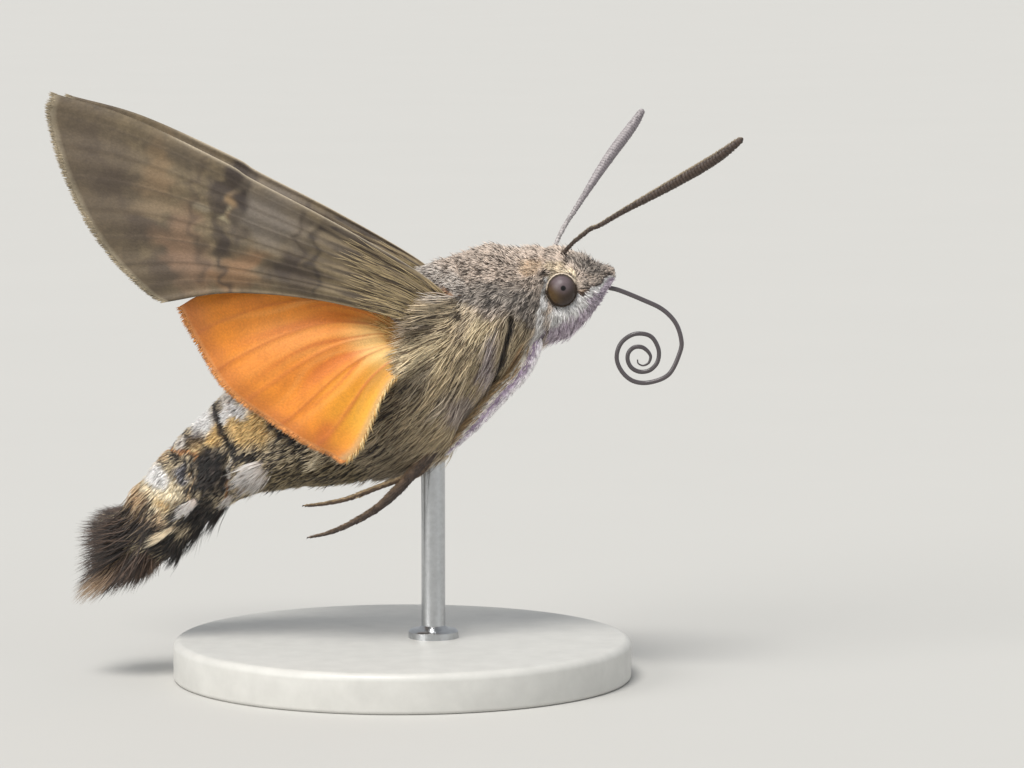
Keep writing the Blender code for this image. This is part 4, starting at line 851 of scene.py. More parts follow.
def grain_group():
    """Fine streaks and specks that vary a colour and give a height; used by every coat and scale."""
    group = bpy.data.node_groups.new("fine_grain", "ShaderNodeTree")
    for way, sockets in (("INPUT", (("Place", "Vector"), ("Color", "Color"), ("Size", "Float"),
                                    ("Depth", "Float"))),
                         ("OUTPUT", (("Color", "Color"), ("Height", "Float")))):
        for name, kind in sockets:
            group.interface.new_socket(name, in_out=way, socket_type="NodeSocket" + kind)
    given = add_node(group, "NodeGroupInput")
    noise = add_node(group, "ShaderNodeTexNoise", {"Detail": 3.0, "Roughness": 0.6, "Vector": given["Place"],
                                                   "Scale": given["Size"]})["Fac"]
    low = add_node(group, "ShaderNodeMath", {0: 1.0, 1: given["Depth"]}, operation="SUBTRACT")[0]
    high = add_node(group, "ShaderNodeMath", {0: 1.0, 1: given["Depth"]}, operation="ADD")[0]
    span = add_node(group, "ShaderNodeMapRange", {"Value": noise, "From Min": 0.3, "From Max": 0.7,
                                                  "To Min": low, "To Max": high})["Result"]
    scaled = add_node(group, "ShaderNodeVectorMath", {0: given["Color"], "Scale": span},
                      operation="SCALE")["Vector"]
    add_node(group, "NodeGroupOutput", {"Color": scaled, "Height": noise})
    return group


def add_grain(tree, place, colour, size, depth):
    """The grain over a colour; returns the grained colour and a height, by the names Color and Height."""
    return add_node(tree, "ShaderNodeGroup", {"Place": place, "Color": colour, "Size": size, "Depth": depth},
                    node_tree=GRAIN)


def bumped(tree, height, distance, strength=0.6):
    """The surface's direction as a height bends it, for a full height of so many millimetres."""
    return add_node(tree, "ShaderNodeBump",
                    {"Distance": distance * MM, "Strength": strength, "Height": height})["Normal"]


def grained(name, roughness, size, depth, bump=0.0, colour=None, stretch=None, look=None):
    """A surface with fine grain in one colour, or else in its own point colours.

    Stretch draws the grain out along a flat map: the map's name and the grain's scale along it and across it.
    """
    mat, tree = new_material(name)
    if colour:
        tint = (*linear(colour), 1.0)
    else:
        tint = add_node(tree, "ShaderNodeAttribute", attribute_name="Tint")["Color"]
    if stretch:
        flat = add_node(tree, "ShaderNodeUVMap", uv_map=stretch[0])["UV"]
        place = add_node(tree, "ShaderNodeMapping", {"Scale": stretch[1], "Vector": flat})["Vector"]
    else:
        place = add_node(tree, "ShaderNodeTexCoord")["Object"]
    grain = add_grain(tree, place, tint, size, depth)
    dressed(mat, tree, {"Roughness": roughness, "Base Color": grain["Color"], **(look or {})})
    if bump:
        dressed(mat, tree, {"Normal": bumped(tree, grain["Height"], bump)})
    return mat


def wing_scales():
    """Overlapping rows of scales in the wing's own colours."""
    mat, tree = new_material("wing_scales")
    tint = add_node(tree, "ShaderNodeAttribute", attribute_name="Tint")["Color"]
    place = add_node(tree, "ShaderNodeTexCoord")["Object"]
    grain = add_grain(tree, place, tint, 9000.0, 0.09)["Color"]
    flat = add_node(tree, "ShaderNodeUVMap", uv_map="Span")["UV"]
    rows = add_node(tree, "ShaderNodeMapping", {"Scale": WING_SCALE_ROWS, "Vector": flat})["Vector"]
    scales = add_node(tree, "ShaderNodeTexVoronoi", {"Scale": 1.0, "Vector": rows})["Distance"]
    shade = add_node(tree, "ShaderNodeMapRange",
                     {"Value": scales, "From Max": 0.75, "To Min": 1.04, "To Max": 0.90})["Result"]
    colour = add_node(tree, "ShaderNodeVectorMath", {0: grain, "Scale": shade}, operation="SCALE")["Vector"]
    return dressed(mat, tree, {"Roughness": 0.62, "Base Color": colour, "Sheen Weight": 0.15,
                               "Normal": bumped(tree, scales, -0.02, 0.5)})


def eye_facets():
    """Compound eye: facets, mauve above (partly painted sheen) and brown below, a dark rim, and the dark dot
    that faces sideways.
    """
    mat, tree = new_material("eye_facets")
    place = add_node(tree, "ShaderNodeTexCoord")["Object"]
    x, y, z = add_node(tree, "ShaderNodeSeparateXYZ", {"Vector": place})
    mirrored = add_node(tree, "ShaderNodeMath", {0: y}, operation="ABSOLUTE")[0]
    one_side = add_node(tree, "ShaderNodeCombineXYZ", {"X": x, "Y": mirrored, "Z": z})["Vector"]
    outermost = np.array((EYE_CENTRE[0], abs(EYE_CENTRE[1]) + EYE_RADII[1], EYE_CENTRE[2]))
    colour = (*linear(EYE_TOP_AND_SHEEN), 1.0)
    for offset, near, far, inside, outside, tone in EYE_TONES:
        away = add_node(tree, "ShaderNodeVectorMath", {0: one_side, 1: tuple((outermost + offset) * MM)},
                        operation="DISTANCE")["Value"]
        share = add_node(tree, "ShaderNodeMapRange",
                         {"Value": away, "From Min": near * MM, "From Max": far * MM, "To Min": inside,
                          "To Max": outside}, interpolation_type="SMOOTHSTEP")["Result"]
        colour = add_node(tree, "ShaderNodeMix", {"Factor": share, 6: colour, 7: (*linear(tone), 1.0)},
                          data_type="RGBA")[2]
    facets = add_node(tree, "ShaderNodeTexVoronoi",
                      {"Scale": 1.0 / (EYE_FACET * MM), "Randomness": 0.25, "Vector": place})["Distance"]
    grain = add_grain(tree, place, colour, 5000.0, 0.14)["Color"]
    return dressed(mat, tree, {"Roughness": 0.40, "Base Color": grain, "Coat Weight": 0.05,
                               "Coat Roughness": 0.2, "Specular IOR Level": 0.3,
                               "Normal": bumped(tree, facets, -0.008, 0.5)})


GRAIN = grain_group()
HAIR = grained("coat_hair", 0.62, 3000.0, 0.12, look={"Sheen Weight": 0.1})
UNDER_COAT = grained("under_coat", 0.9, 9000.0, 0.4, 0.05)
SCALES = wing_scales()
EYE = eye_facets()
FEELER_HORN = grained("feeler_horn", 0.5, 6000.0, 0.22, 0.01)
TONGUE_HORN = grained("tongue_horn", 0.32, 1.0, 0.25, 0.006, stretch=("Run", (900.0, 6.0, 1.0)),
                      look={"Coat Weight": 0.35})
LEG_SCALES = grained("leg_scales", 0.7, 9000.0, 0.35, 0.02)
BASE_PAINT = grained("base_satin", 0.42, 900.0, 0.05, 0.01, (196, 195, 190))
ROD_METAL = grained("rod_brushed", 0.28, 4000.0, 0.08, 0.004, (186, 188, 190), look={"Metallic": 1.0})
FLOOR_PAINT = grained("pale_floor", 0.85, 40.0, 0.006, colour=(190, 189, 185))


# Body

def build_skin():
    """One closed skin: the ovals from the snout to the tail with their folds, in the coat's own colours."""
    rows, cols = 240, 128
    s = np.linspace(0, len(BODY_RINGS) - 1, rows)
    turn = 2.0 * np.arange(cols) / cols
    points = skin(*np.meshgrid(s, turn, indexing="ij")).reshape(-1, 3)
    points = np.vstack((points, SNOUT_TIP, BODY_END))
    light, dark, share = coat_colours(points[:, 0], points[:, 2])
    # Darkened by SKIN_SHADE: painted shade under the coat.
    tint = (light + (dark - light) * share[:, None]) * SKIN_SHADE
    run, bend = np.meshgrid(s / s[-1], turn / 2, indexing="ij")
    flat = np.vstack((np.stack((run, bend), axis=-1).reshape(-1, 2), (0.0, 0.5), (1.0, 0.5)))
    obj = closed_form("body_skin", points, rows, cols, tint, {"Run": flat})
    finish_piece(obj, UNDER_COAT, "fur_grey", "head", "palp_right", "palp_left", "thorax", "abdomen_front",
                 "abdomen_middle", "abdomen_rear")


def build_coat():
    """The coat in pieces from the head to the tail: seed, rings, turns, hairs and hair width of each."""
    def upper_face(here):
        """Whether a place lies on the grey upper face or behind the face."""
        border = np.interp(here[:, 0], FACE_X, FACE_Z)
        return (here[:, 2] > border - 0.1) | (here[:, 0] < 7.3)

    def lower_face(here):
        """Whether a place lies on the white lower face."""
        return ~upper_face(here)

    all_round = (-0.5, 1.5)
    grow("coat_head", 11, (0.0, 6.3), (-0.45, 1.45), 14500, 0.044, "fur_grey", sway=0.50, lock=(0.16, 0.34),
         shade=0.60, keep=upper_face)
    grow("coat_face", 12, (0.0, 6.6), all_round, 7000, 0.042, "fur_white", sway=0.16, lock=(0.30, 0.35),
         shade=0.72, keep=lower_face, joints=4, longer=0.85, higher=1.25)
    grow("coat_back", 13, (6.2, 13.6), (0.17, 0.83), 14000, 0.050, "fur_grey", sway=0.50, lock=(0.20, 0.36),
         shade=0.58)
    for label, seed, turns in (("right", 14, (0.80, 1.5)), ("left", 15, (-0.5, 0.20))):
        grow("coat_flank_" + label, seed, (6.0, 13.4), turns, 6300, 0.045, "fur_grey", sway=0.24,
             lock=(0.36, 0.50), shade=0.58, joints=5, curl=0.10)
    grow("coat_loin", 16, (13.0, 17.3), all_round, 12500, 0.064, "fur_dark", sway=0.26, lock=(0.26, 0.40),
         shade=0.60)
    grow("coat_abdomen", 17, (17.0, 23.0), all_round, 15000, 0.062, "fur_dark", sway=0.20, lock=(0.22, 0.28),
         shade=0.82, longer=0.8, higher=0.8)
    grow("coat_end", 18, (21.2, 23.0), all_round, 1300, 0.060, "fur_dark", sway=0.22, lock=(0.40, 0.35),
         shade=0.60, joints=4, size=(1.9, 0.40))


def build_shoulders():
    """Long hairs that root before each wing and lie out over both wings' roots."""
    rings, turns = np.meshgrid(np.linspace(8.0, 13.0, 80), np.linspace(0.75, 1.35, 60), indexing="ij")
    u, v = np.meshgrid(np.linspace(0.0, 0.40, 50), np.linspace(0.0, 1.0, 50), indexing="ij")
    cover = np.concatenate([skin(rings, turns).reshape(-1, 3)]
                           + [pleated(edges, veins, u, v)[0].reshape(-1, 3) + (0.0, -0.06, 0.0)
                              for edges, veins in (FORE, HIND)])

    def outermost(x, z):
        """How far to the side the body and the wings reach at places of the side view."""
        far = (x[:, None] - cover[None, :, 0]) ** 2 + (z[:, None] - cover[None, :, 2]) ** 2
        return np.where(far < 0.22 ** 2, -cover[None, :, 1], 0.0).max(axis=1)

    rng = np.random.default_rng(25)
    count, joints = SHOULDER_HAIRS, 5
    down = rng.uniform(0.0, 1.0, count)
    ahead = rng.uniform(-0.45, 0.55, count)
    x, z = 2.55 - 1.25 * down + ahead, 19.35 - 3.6 * down + 0.3 * ahead
    aim = np.interp(down, (0.0, 0.3, 0.6, 1.0), (176.0, 190.0, 206.0, 222.0))
    aim = np.radians(aim + 9.0 * rng.normal(size=count))
    bend = np.radians(4.0 * rng.normal(size=count))
    length = np.interp(down, (0.0, 0.3, 0.7, 1.0), (1.7, 2.6, 2.7, 2.0)) * rng.uniform(0.6, 1.15, count)
    high = rng.uniform(0.10, 0.34, count)
    path, last = [], np.zeros(count)
    for j, t in enumerate(np.linspace(0.0, 1.0, joints)):
        reach = outermost(x, z)
        last = np.where(reach > 0.5, np.maximum(reach, last - 0.12), last)
        over = (-0.08 if j == 0 else 1.0) * high * math.sin(math.pi * (0.15 + 0.7 * t))
        path.append(np.stack((x, -(last + over), z), axis=1))
        x = x + np.cos(aim + bend * j) * length / (joints - 1)
        z = z + np.sin(aim + bend * j) * length / (joints - 1)
    path = np.stack(path, axis=1)
    group = clump(path, path[:, 0].copy(), 0.36, 0.45, 27)
    tip = picked_tints(path[:, 2], group, rng)
    out = np.tile((0.0, -1.0, 0.0), (count, joints, 1))
    spot = np.stack((down, ahead + 0.45), axis=1) * 0.98 + 0.01
    # Roots at 0.65 of the tips' colour: painted shade deep in the coat.
    for label, side in (("right", 1.0), ("left", -1.0)):
        strands("coat_shoulder_" + label, path * (1.0, side, 1.0), out * (1.0, side, 1.0),
                HAIR_WIDTHS["shoulder"] * rng.uniform(0.7, 1.2, count), tip * 0.65, tip, spot,
                "fur_grey")


def build_side_brushes():
    """White and dark brushes of long flat scales at the sides of the abdomen, fanned from root to tip."""
    rings, turns = np.meshgrid(np.linspace(13, 23, 401), np.linspace(0.9, 1.5, 241), indexing="ij")
    seen = skin(rings, turns)

    def on_side(place):
        """Ring, turn and side-view distance of the skin nearest to a place in the side view."""
        away = np.hypot(seen[..., 0] - place[0], seen[..., 2] - place[1])
        near = np.argmin(away)
        return rings.flat[near], turns.flat[near], away.flat[near]

    paths, outs, tints, spots = [], [], [], []
    rng = np.random.default_rng(41)
    for rx, rz, tx, tz, half, fan_angle, lift, count, coat in SIDE_BRUSHES:
        heading, length = math.atan2(tz - rz, tx - rx), math.hypot(tx - rx, tz - rz)
        roots, tips = [], []
        for lean, reach in zip(BRUSH_LEANS, BRUSH_REACH):
            root = (rx - math.sin(heading) * half * lean, rz + math.cos(heading) * half * lean)
            aim = heading + math.radians(lean * fan_angle)
            roots.append(on_side(root))
            tips.append(on_side((root[0] + math.cos(aim) * length * reach,
                                 root[1] + math.sin(aim) * length * reach)))
        lean = 0.42 * rng.normal(size=count)
        lean = np.where(np.abs(lean) > 1.0, rng.uniform(-0.9, 0.9, count), lean)
        run = rng.uniform(0.40, 1.0, count) ** 0.8 * rng.uniform(0.75, 1.35, count)
        start = [np.interp(lean, BRUSH_LEANS, column) for column in zip(*roots)]
        splay = lean + 0.35 * rng.normal(size=count)
        end = [np.interp(splay, BRUSH_LEANS, column) for column in zip(*tips)]
        s0 = start[0] + 0.05 * rng.normal(size=count)
        high = lift * rng.uniform(0.35, 1.1, count)
        path, out = [], []
        for t in np.linspace(0.0, 1.0, 4):
            s, turn = s0 + (end[0] - start[0]) * run * t, start[1] + (end[1] - start[1]) * run * t
            height = -ROOT_DEPTH + (high * t ** 0.8 + ROOT_DEPTH) + end[2] * run * t
            here = skin(s, turn, height)
            path.append(here)
            out.append(unit(unit(skin(s, turn, height + 0.05) - here) + (-0.10, 0.0, 0.30)))
        path = np.stack(path, axis=1)
        clump(path, np.stack((lean, 0.5 * run), axis=1), 0.20, 0.80, 43)
        tint = two_tone(rng, count, *COATS[coat], 0.9, 1.1)
        # About a sixth of the hairs much darker: partly dark hairs, partly painted shadow between the brush's
        # spikes.
        tint[rng.random(count) < 0.16] *= (0.46, 0.40, 0.37)
        paths.append(path)
        outs.append(np.stack(out, axis=1))
        tints.append(tint)
        spots.append(np.stack(((s0 - 13) / 10, (start[1] - 0.9) / 0.6), axis=1))
    path, out, tint, spot = (np.concatenate(part) for part in (paths, outs, tints, spots))
    # Darker, warmer roots: partly the brushes' pinkish-brown roots, partly painted shade deep in the brush.
    for label, flip in (("right", 1.0), ("left", -1.0)):
        strands("brushes_" + label, path * (1.0, flip, 1.0), out * (1.0, flip, 1.0),
                HAIR_WIDTHS["brush"] * rng.uniform(0.7, 1.2, len(path)), tint * (0.84, 0.70, 0.60), tint,
                np.clip(spot, 0.005, 0.995), "fur_white")


def build_tail():
    """The tail brush: hairs fanned out about the body's end line, each as long as TAIL_FAN says there."""
    rng = np.random.default_rng(51)
    centre = np.array((TAIL_CENTRE[0], 0.0, TAIL_CENTRE[1]))
    line = np.array((TAIL_AIM[0], 0.0, TAIL_AIM[1])) - centre
    heading = math.atan2(line[2], line[0])
    axis = unit(line)
    table = np.array(TAIL_FAN)
    tilt = rng.uniform(table[0, 0], table[-1, 0], TAIL_HAIRS)
    spread = np.interp(tilt, table[:, 0], table[:, 1])
    reach = np.interp(tilt, table[:, 0], table[:, 2]) * (0.42 + 0.62 * rng.random(TAIL_HAIRS) ** 0.6)
    wide = rng.uniform(-1, 1, TAIL_HAIRS)
    yaw = np.radians(wide * spread)
    pitch = heading - np.radians(tilt)
    aim = np.stack((np.cos(pitch) * np.cos(yaw), np.sin(yaw), np.sin(pitch) * np.cos(yaw)), axis=1)
    off = rng.normal(size=(TAIL_HAIRS, 3)) * (0.25, 0.45, 0.45)
    root = centre - axis * 0.7 + aim * (reach * rng.uniform(0.05, 0.30, TAIL_HAIRS))[:, None] + off
    stray = rng.normal(size=(TAIL_HAIRS, 3)) * 0.22
    joints = 4
    path = np.stack([root + (centre + aim * reach[:, None] - root) * t
                     + stray * t * (1 - 0.4 * t) + (0.0, 0.0, -0.15 * math.sin(math.pi * t))
                     for t in np.linspace(0, 1, joints)], axis=1)
    group = clump(path, np.stack((tilt / 9.0, yaw * 5, reach), axis=1), 0.75, 0.25, 61)
    out = aim - axis * (aim @ axis)[:, None] + 0.02
    out = np.repeat(unit(out)[:, None], joints, axis=1)
    dark, brown, top, end = (linear(TAIL_TONES[name]) for name in ("dark", "brown", "top", "tip"))
    tint = dark + (brown - dark) * smooth(rng.random(TAIL_HAIRS) * 1.7 - 0.6)[:, None]
    rim = smooth((-40 - tilt) / 25)[:, None] * smooth((reach - 1.4) / 0.6)[:, None]
    tint = tint + (top - tint) * rim * 0.6
    pale = (smooth((9 - np.abs(tilt + 8)) / 6) * smooth((reach - 4.0) / 0.5))[:, None]
    tip = tint * 1.25 + (end - tint) * pale * 0.9
    tone = (1 + 0.15 * rng.normal(size=group.max() + 1)[group])[:, None]
    spot = np.stack(((tilt - table[0, 0]) / (table[-1, 0] - table[0, 0]), wide / 2 + 0.5), axis=1)
    width = HAIR_WIDTHS["tail"] * rng.uniform(0.7, 1.2, TAIL_HAIRS)
    # Roots at three quarters of the colour: painted shade deep in the brush.
    strands("tail_brush", path, out, width, tint * 0.75 * tone, tip * tone, spot * 0.99 + 0.005, "fur_dark")


def build_eyes():
    """Each eye: an oval ball with its poles to the sides, and a dark scaled rim, pale above the eye."""
    rows, cols = 48, 72
    tall, turn = np.meshgrid(np.pi * (np.arange(rows) + 1) / (rows + 1), 2 * np.pi * np.arange(cols) / cols,
                             indexing="ij")
    ball = np.stack((EYE_RADII[0] * np.sin(tall) * np.cos(turn), EYE_RADII[1] * np.cos(tall),
                     EYE_RADII[2] * np.sin(tall) * np.sin(turn)), axis=-1).reshape(-1, 3)
    ball = np.vstack((ball, (0, EYE_RADII[1], 0), (0, -EYE_RADII[1], 0)))
    steps, around = 120, 10
    angle = 2 * np.pi * np.arange(steps) / steps
    wave = 1.0 + 0.012 * np.sin(angle * 23)
    loop = np.stack((EYE_RADII[0] * 1.01 * np.cos(angle) * wave, np.full(steps, RIM_HEIGHT),
                     EYE_RADII[2] * 1.01 * np.sin(angle) * wave), axis=1)
    away = unit(loop * (1.0, 0.0, 1.0))
    ring_turn = (2 * np.pi * np.arange(around) / around)[None, :, None]
    c, d = np.arange(around), (np.arange(around) + 1) % around
    last = (steps - 1) * around
    quads = np.vstack((grid_faces(steps, around, closed=True), np.stack((last + c, last + d, d, c), axis=1)))
    degrees = np.degrees(np.arctan2(np.sin(angle), np.cos(angle)))
    over = (smooth((degrees - 15) / 20) * smooth((186 - degrees) / 10))[:, None]
    dark, pale = linear(RIM_TONES)
    tint = np.repeat(dark + (pale - dark) * over, around, axis=0)
    for label, side in (("right", 1.0), ("left", -1.0)):
        centre = EYE_CENTRE * (1.0, side, 1.0)
        obj = closed_form("eyeball_" + label, ball + centre, rows, cols)
        finish_piece(obj, EYE, "eye", "eye_" + label)
        middle = (loop * (1.0, -side, 1.0) + centre)[:, None]
        ring = np.cos(ring_turn) * away[:, None] + np.sin(ring_turn) * (0.0, 1.0, 0.0)
        points = middle + RIM_RADIUS * ring
        rim = turned_out(new_mesh("eye_rim_" + label, points, quads, tint=tint))
        finish_piece(rim, LEG_SCALES, "eye")


# Wings

def fan(edges, u, v):
    """The surface stretched between a wing's four edges, at shares u outwards and v across it."""
    costa, margin, dorsum = (even(edge, 200) for edge in edges)

    def along(line, share):
        """Points of a line at shares of its length."""
        spots = np.linspace(0, 1, len(line))
        return np.stack([np.interp(share, spots, line[:, k]) for k in range(3)], axis=-1)

    u, v = np.asarray(u)[..., None], np.asarray(v)[..., None]
    lead, trail, outer = along(costa, u[..., 0]), along(dorsum, u[..., 0]), along(margin, v[..., 0])
    root = costa[0] + (dorsum[0] - costa[0]) * v
    flat = ((1 - u) * (1 - v) * costa[0] + u * (1 - v) * costa[-1]
            + (1 - u) * v * dorsum[0] + u * v * dorsum[-1])
    return (1 - v) * lead + v * trail + (1 - u) * root + u * outer - flat


def to_side(points, side):
    """Leaves the right side's points; mirrors them to the left and turns them down about the wing's root."""
    if side > 0:
        return points
    turn = math.radians(LEFT_WING_DROP)
    root = np.array(FORE_EDGES[0][0])
    x, z = points[..., 0] - root[0], points[..., 2] - root[2]
    return np.stack((root[0] + x * math.cos(turn) - z * math.sin(turn), -points[..., 1],
                     root[2] + x * math.sin(turn) + z * math.cos(turn)), axis=-1)


def pleated(edges, veins, u, v):
    """Middle surface of a wing, raised between its veins like shallow pleats, and its outward direction."""
    small = 0.002
    here = fan(edges, u, v)
    across = fan(edges, u, v + small) - here
    ahead = fan(edges, u + small, v) - here
    out = unit(np.cross(ahead, across))
    if out[..., 1].mean() > 0:
        out = -out
    stops = np.concatenate(((0.0,), veins, (1.0,)))
    gap = np.clip(np.searchsorted(stops, v, side="right") - 1, 0, len(stops) - 2)
    share = (v - stops[gap]) / (stops[gap + 1] - stops[gap])
    pleat = np.sin(np.pi * np.clip(share, 0, 1)) ** 2 * np.where(gap % 2 == 0, 1.0, -1.0)
    return here + out * (PLEAT_HEIGHT * pleat * smooth(u / 0.25))[..., None], out


def fore_tints(x, z, u, v):
    """Forewing: mottled grey-brown with dark bars and lines, a cream spot, and straw streaks at the root."""
    spot = np.stack((x, z), axis=-1)
    wx = x + 0.16 * waves(spot, 1.1, 81)
    wz = z + 0.16 * waves(spot, 1.1, 82)
    mottling = 0.13 * waves(spot, 1.6, 83) + 0.09 * waves(spot, 0.5, 84) + 0.08 * waves(spot, 0.26, 86)
    tint = linear(FORE_BASE) * (1 + mottling)[:, None]

    def blend(colour, weight):
        """Draws the colours towards one colour."""
        nonlocal tint
        tint = tint + (linear(colour) - tint) * np.clip(weight, 0, 1)[:, None]

    for colour, cx, cz, rx, rz, tilt, strength in FORE_MARKS:
        blend(colour, strength * in_oval(wx, wz, cx, cz, rx, rz, tilt, 1.3))
    for colour, width, strength, line in FORE_LINES:
        blend(colour, strength * np.exp(-(off_line(wx, wz, line) / (1.25 * width)) ** 2))
    basal = smooth((x + 5.2) / 4.2)
    streak = np.sin(v * 46 + 2.2 * waves(np.stack((u * 3, v * 6), axis=-1), 1.0, 85))
    blend(FORE_TONES["straw"], basal * smooth((streak + 0.35) / 0.8) * 0.75)
    blend(FORE_TONES["streak"], basal * smooth((-streak - 0.1) / 0.7) * 0.8)
    for vein in FORE_VEINS:
        blend(FORE_TONES["vein"], np.exp(-((v - vein) / 0.006) ** 2) * 0.4)
    blend(FORE_TONES["leading edge"], smooth((0.013 - v) / 0.008) * smooth((0.78 - u) / 0.1) * 0.85)
    blend(FORE_TONES["margin"], smooth((u - 0.88) / 0.06) * 0.45)
    blend(FORE_TONES["fringe"], smooth((u - 0.98) / 0.012) * 0.5)
    return np.clip(tint * WING_TONE, 0.002, 1)


def hind_tints(x, z, u, v):
    """Hindwing: orange with darker rays from the root, golden at the inner corner, brown at the margin."""
    spot = np.stack((x, z), axis=-1)
    tint = linear(HIND_BASE) * (1 + 0.05 * waves(spot, 1.3, 91))[:, None]

    def blend(colour, weight):
        """Draws the colours towards one colour."""
        nonlocal tint
        tint = tint + (linear(colour) - tint) * np.clip(weight, 0, 1)[:, None]

    for colour, cx, cz, rx, rz, tilt, strength in HIND_MARKS:
        blend(colour, strength * in_oval(x, z, cx, cz, rx, rz, tilt, 1.3))
    bend = waves(np.stack((u * 2, v * 5), axis=-1), 1.0, 92)
    ray = 0.6 * np.sin(v * 31 + 1.4 * bend) + 0.4 * np.sin(v * 74 + 2.0 * bend)
    past_root = smooth((u - 0.04) / 0.2)
    blend(HIND_TONES["ray"], smooth((ray - 0.05) / 0.8) * past_root * smooth((1.05 - u) / 0.5) * 0.5)
    blend(HIND_TONES["between rays"], smooth((-ray - 0.2) / 0.8) * past_root * smooth((1.1 - u) / 0.6) * 0.35)
    pale = smooth((np.sin(v * 58 + 2.4 * bend) + 0.1) / 0.7) * smooth((0.46 - u) / 0.36)
    blend(HIND_TONES["pale ray"], pale * smooth((v - 0.12) / 0.1) * 0.65)
    for vein in HIND_VEINS:
        blend(HIND_TONES["vein"], np.exp(-((v - vein) / 0.008) ** 2) * 0.45)
    blend(HIND_TONES["root"], smooth((0.20 - u) / 0.15) * 0.7)
    blend(HIND_TONES["margin"], smooth((u - 0.90) / 0.08) * 0.45)
    blend(HIND_TONES["fringe"], smooth((u - 0.984) / 0.010) * 0.5)
    blend(HIND_TONES["inner edge"], smooth((v - 0.955) / 0.03) * 0.6)
    return np.clip(tint * WING_TONE, 0.002, 1)


def wing(name, node, finish, edges, veins, tints, side, steps):
    """Two faces of one membrane with its veins raised on both, closed round the edge."""
    rows, cols = steps
    u, v = np.meshgrid(np.linspace(0, 1, rows), np.linspace(0, 1, cols), indexing="ij")
    middle, out = pleated(edges, veins, u, v)
    chord = np.linalg.norm(fan(edges, u[:, 0], np.ones(rows)) - fan(edges, u[:, 0], np.zeros(rows)), axis=1)
    thick = np.full(u.shape, MEMBRANE / 2)
    for vein, strength in ((0.012, 1.5),) + tuple((vein, 1.0) for vein in veins):
        ridge = np.exp(-((v - vein) * chord[:, None] / VEIN_WIDTH) ** 2)
        thick += VEIN_HEIGHT * ridge * strength * (1.15 - 0.75 * u)
    rim = np.minimum(np.minimum(v, 1 - v) * chord[:, None], (1 - u) * WING_LENGTH)
    thick *= 0.25 + 0.75 * smooth(rim / 0.25)
    points = np.stack((middle + out * thick[..., None], middle - out * thick[..., None])).reshape(-1, 3)
    tint = tints(middle[..., 0].ravel(), middle[..., 2].ravel(), u.ravel(), v.ravel())
    face = grid_faces(rows, cols)
    n = rows * cols
    edge = np.concatenate((np.arange(cols), np.arange(1, rows) * cols + cols - 1,
                           (rows - 1) * cols + np.arange(cols - 2, -1, -1),
                           np.arange(rows - 2, 0, -1) * cols))
    ahead = np.roll(edge, -1)
    border = np.stack((ahead, edge, edge + n, ahead + n), axis=1)
    flat = np.stack((u, v), axis=-1).reshape(-1, 2)
    obj = new_mesh(name, to_side(points, side), np.concatenate((face, face[:, ::-1] + n, border)),
                   tint=np.vstack((tint, tint)), maps={"Span": np.vstack((flat, flat))})
    finish_piece(turned_out(obj), SCALES, finish, node)


def hairs_on_wing(edges, veins, rng, u0, v0, length, rise, drift, face):
    """Hairs that lie along a wing from their roots (u0, v0): steps outwards at a growing height."""
    path, outward = [], []
    lean = rng.normal(size=len(u0)) * drift
    for t in WING_HAIR_STEPS:
        u = np.clip(u0 + length * t / WING_LENGTH, 0, 1.03)
        v = np.clip(v0 + lean * t, 0.0, 1.0)
        here, out = pleated(edges, veins, u, v)
        path.append(here + out * (face * (0.03 + rise * math.sin(math.pi * 0.5 * t)))[:, None])
        outward.append(out * face[:, None])
    return np.stack(path, axis=1), np.stack(outward, axis=1)


def bridging_hairs(edges, veins, rng, count, reach, lift):
    """Hairs that root in the body's coat beside a wing and run outwards over the wing's root."""
    v0 = rng.uniform(0.0, 1.0, count)
    face = np.where(rng.random(count) < 0.62, 1.0, -1.0)
    length = reach * rng.uniform(0.45, 1.0, count)
    lean = rng.normal(size=count) * 0.06
    first = pleated(edges, veins, np.full(count, 0.004), v0)[0]
    ahead = unit(pleated(edges, veins, np.full(count, 0.05), v0)[0] - first)
    back = rng.uniform(0.5, 1.5, count)
    path, outward = [], []
    for t in WING_HAIR_STEPS:
        run = length * t - back
        u = np.clip(run / WING_LENGTH, 0.002, 1.0)
        here, out = pleated(edges, veins, u, np.clip(v0 + lean * t, 0.0, 1.0))
        before = np.clip(run, None, 0.0)[:, None] * (ahead - np.array((0.0, 0.55, 0.0)))
        high = face * (0.04 + lift * rng.uniform(0.6, 1.0, count) * math.sin(math.pi * (0.2 + 0.7 * t)))
        path.append(here + before + out * high[:, None])
        outward.append(out * face[:, None])
    return np.stack(path, axis=1), np.stack(outward, axis=1), v0


def edge_hairs(edges, veins, rng, count, inner):
    """Short hairs that stand past a wing's outer edge, or past its inner edge and lean outwards along it."""
    place, set_back = rng.uniform(0.0, 1.0, count), rng.uniform(0.984, 0.998, count)
    face = np.where(rng.random(count) < 0.5, 1.0, -1.0)[:, None]
    if inner:
        u0, v0 = 0.10 + 0.88 * place, set_back
        start, out = pleated(edges, veins, u0, v0)
        ahead = unit(start - fan(edges, u0, v0 - 0.02)) * 0.6 + unit(start - fan(edges, u0 - 0.02, v0))
        length = rng.uniform(0.25, 0.55, count)[:, None]
    else:
        u0, v0 = set_back, place
        start, out = pleated(edges, veins, u0, v0)
        ahead = unit(start - fan(edges, u0 - 0.02, v0))
        length = rng.uniform(0.24, 0.34, count)[:, None]
    ahead = unit(unit(ahead) + 0.09 * rng.normal(size=(count, 3)) * (1, 0.5, 1))
    path = np.stack([start + out * face * 0.03 * (1 - t) + ahead * length * t for t in (0.0, 0.5, 1.0)],
                    axis=1)
    return path, np.repeat((out * face)[:, None], 3, axis=1), place


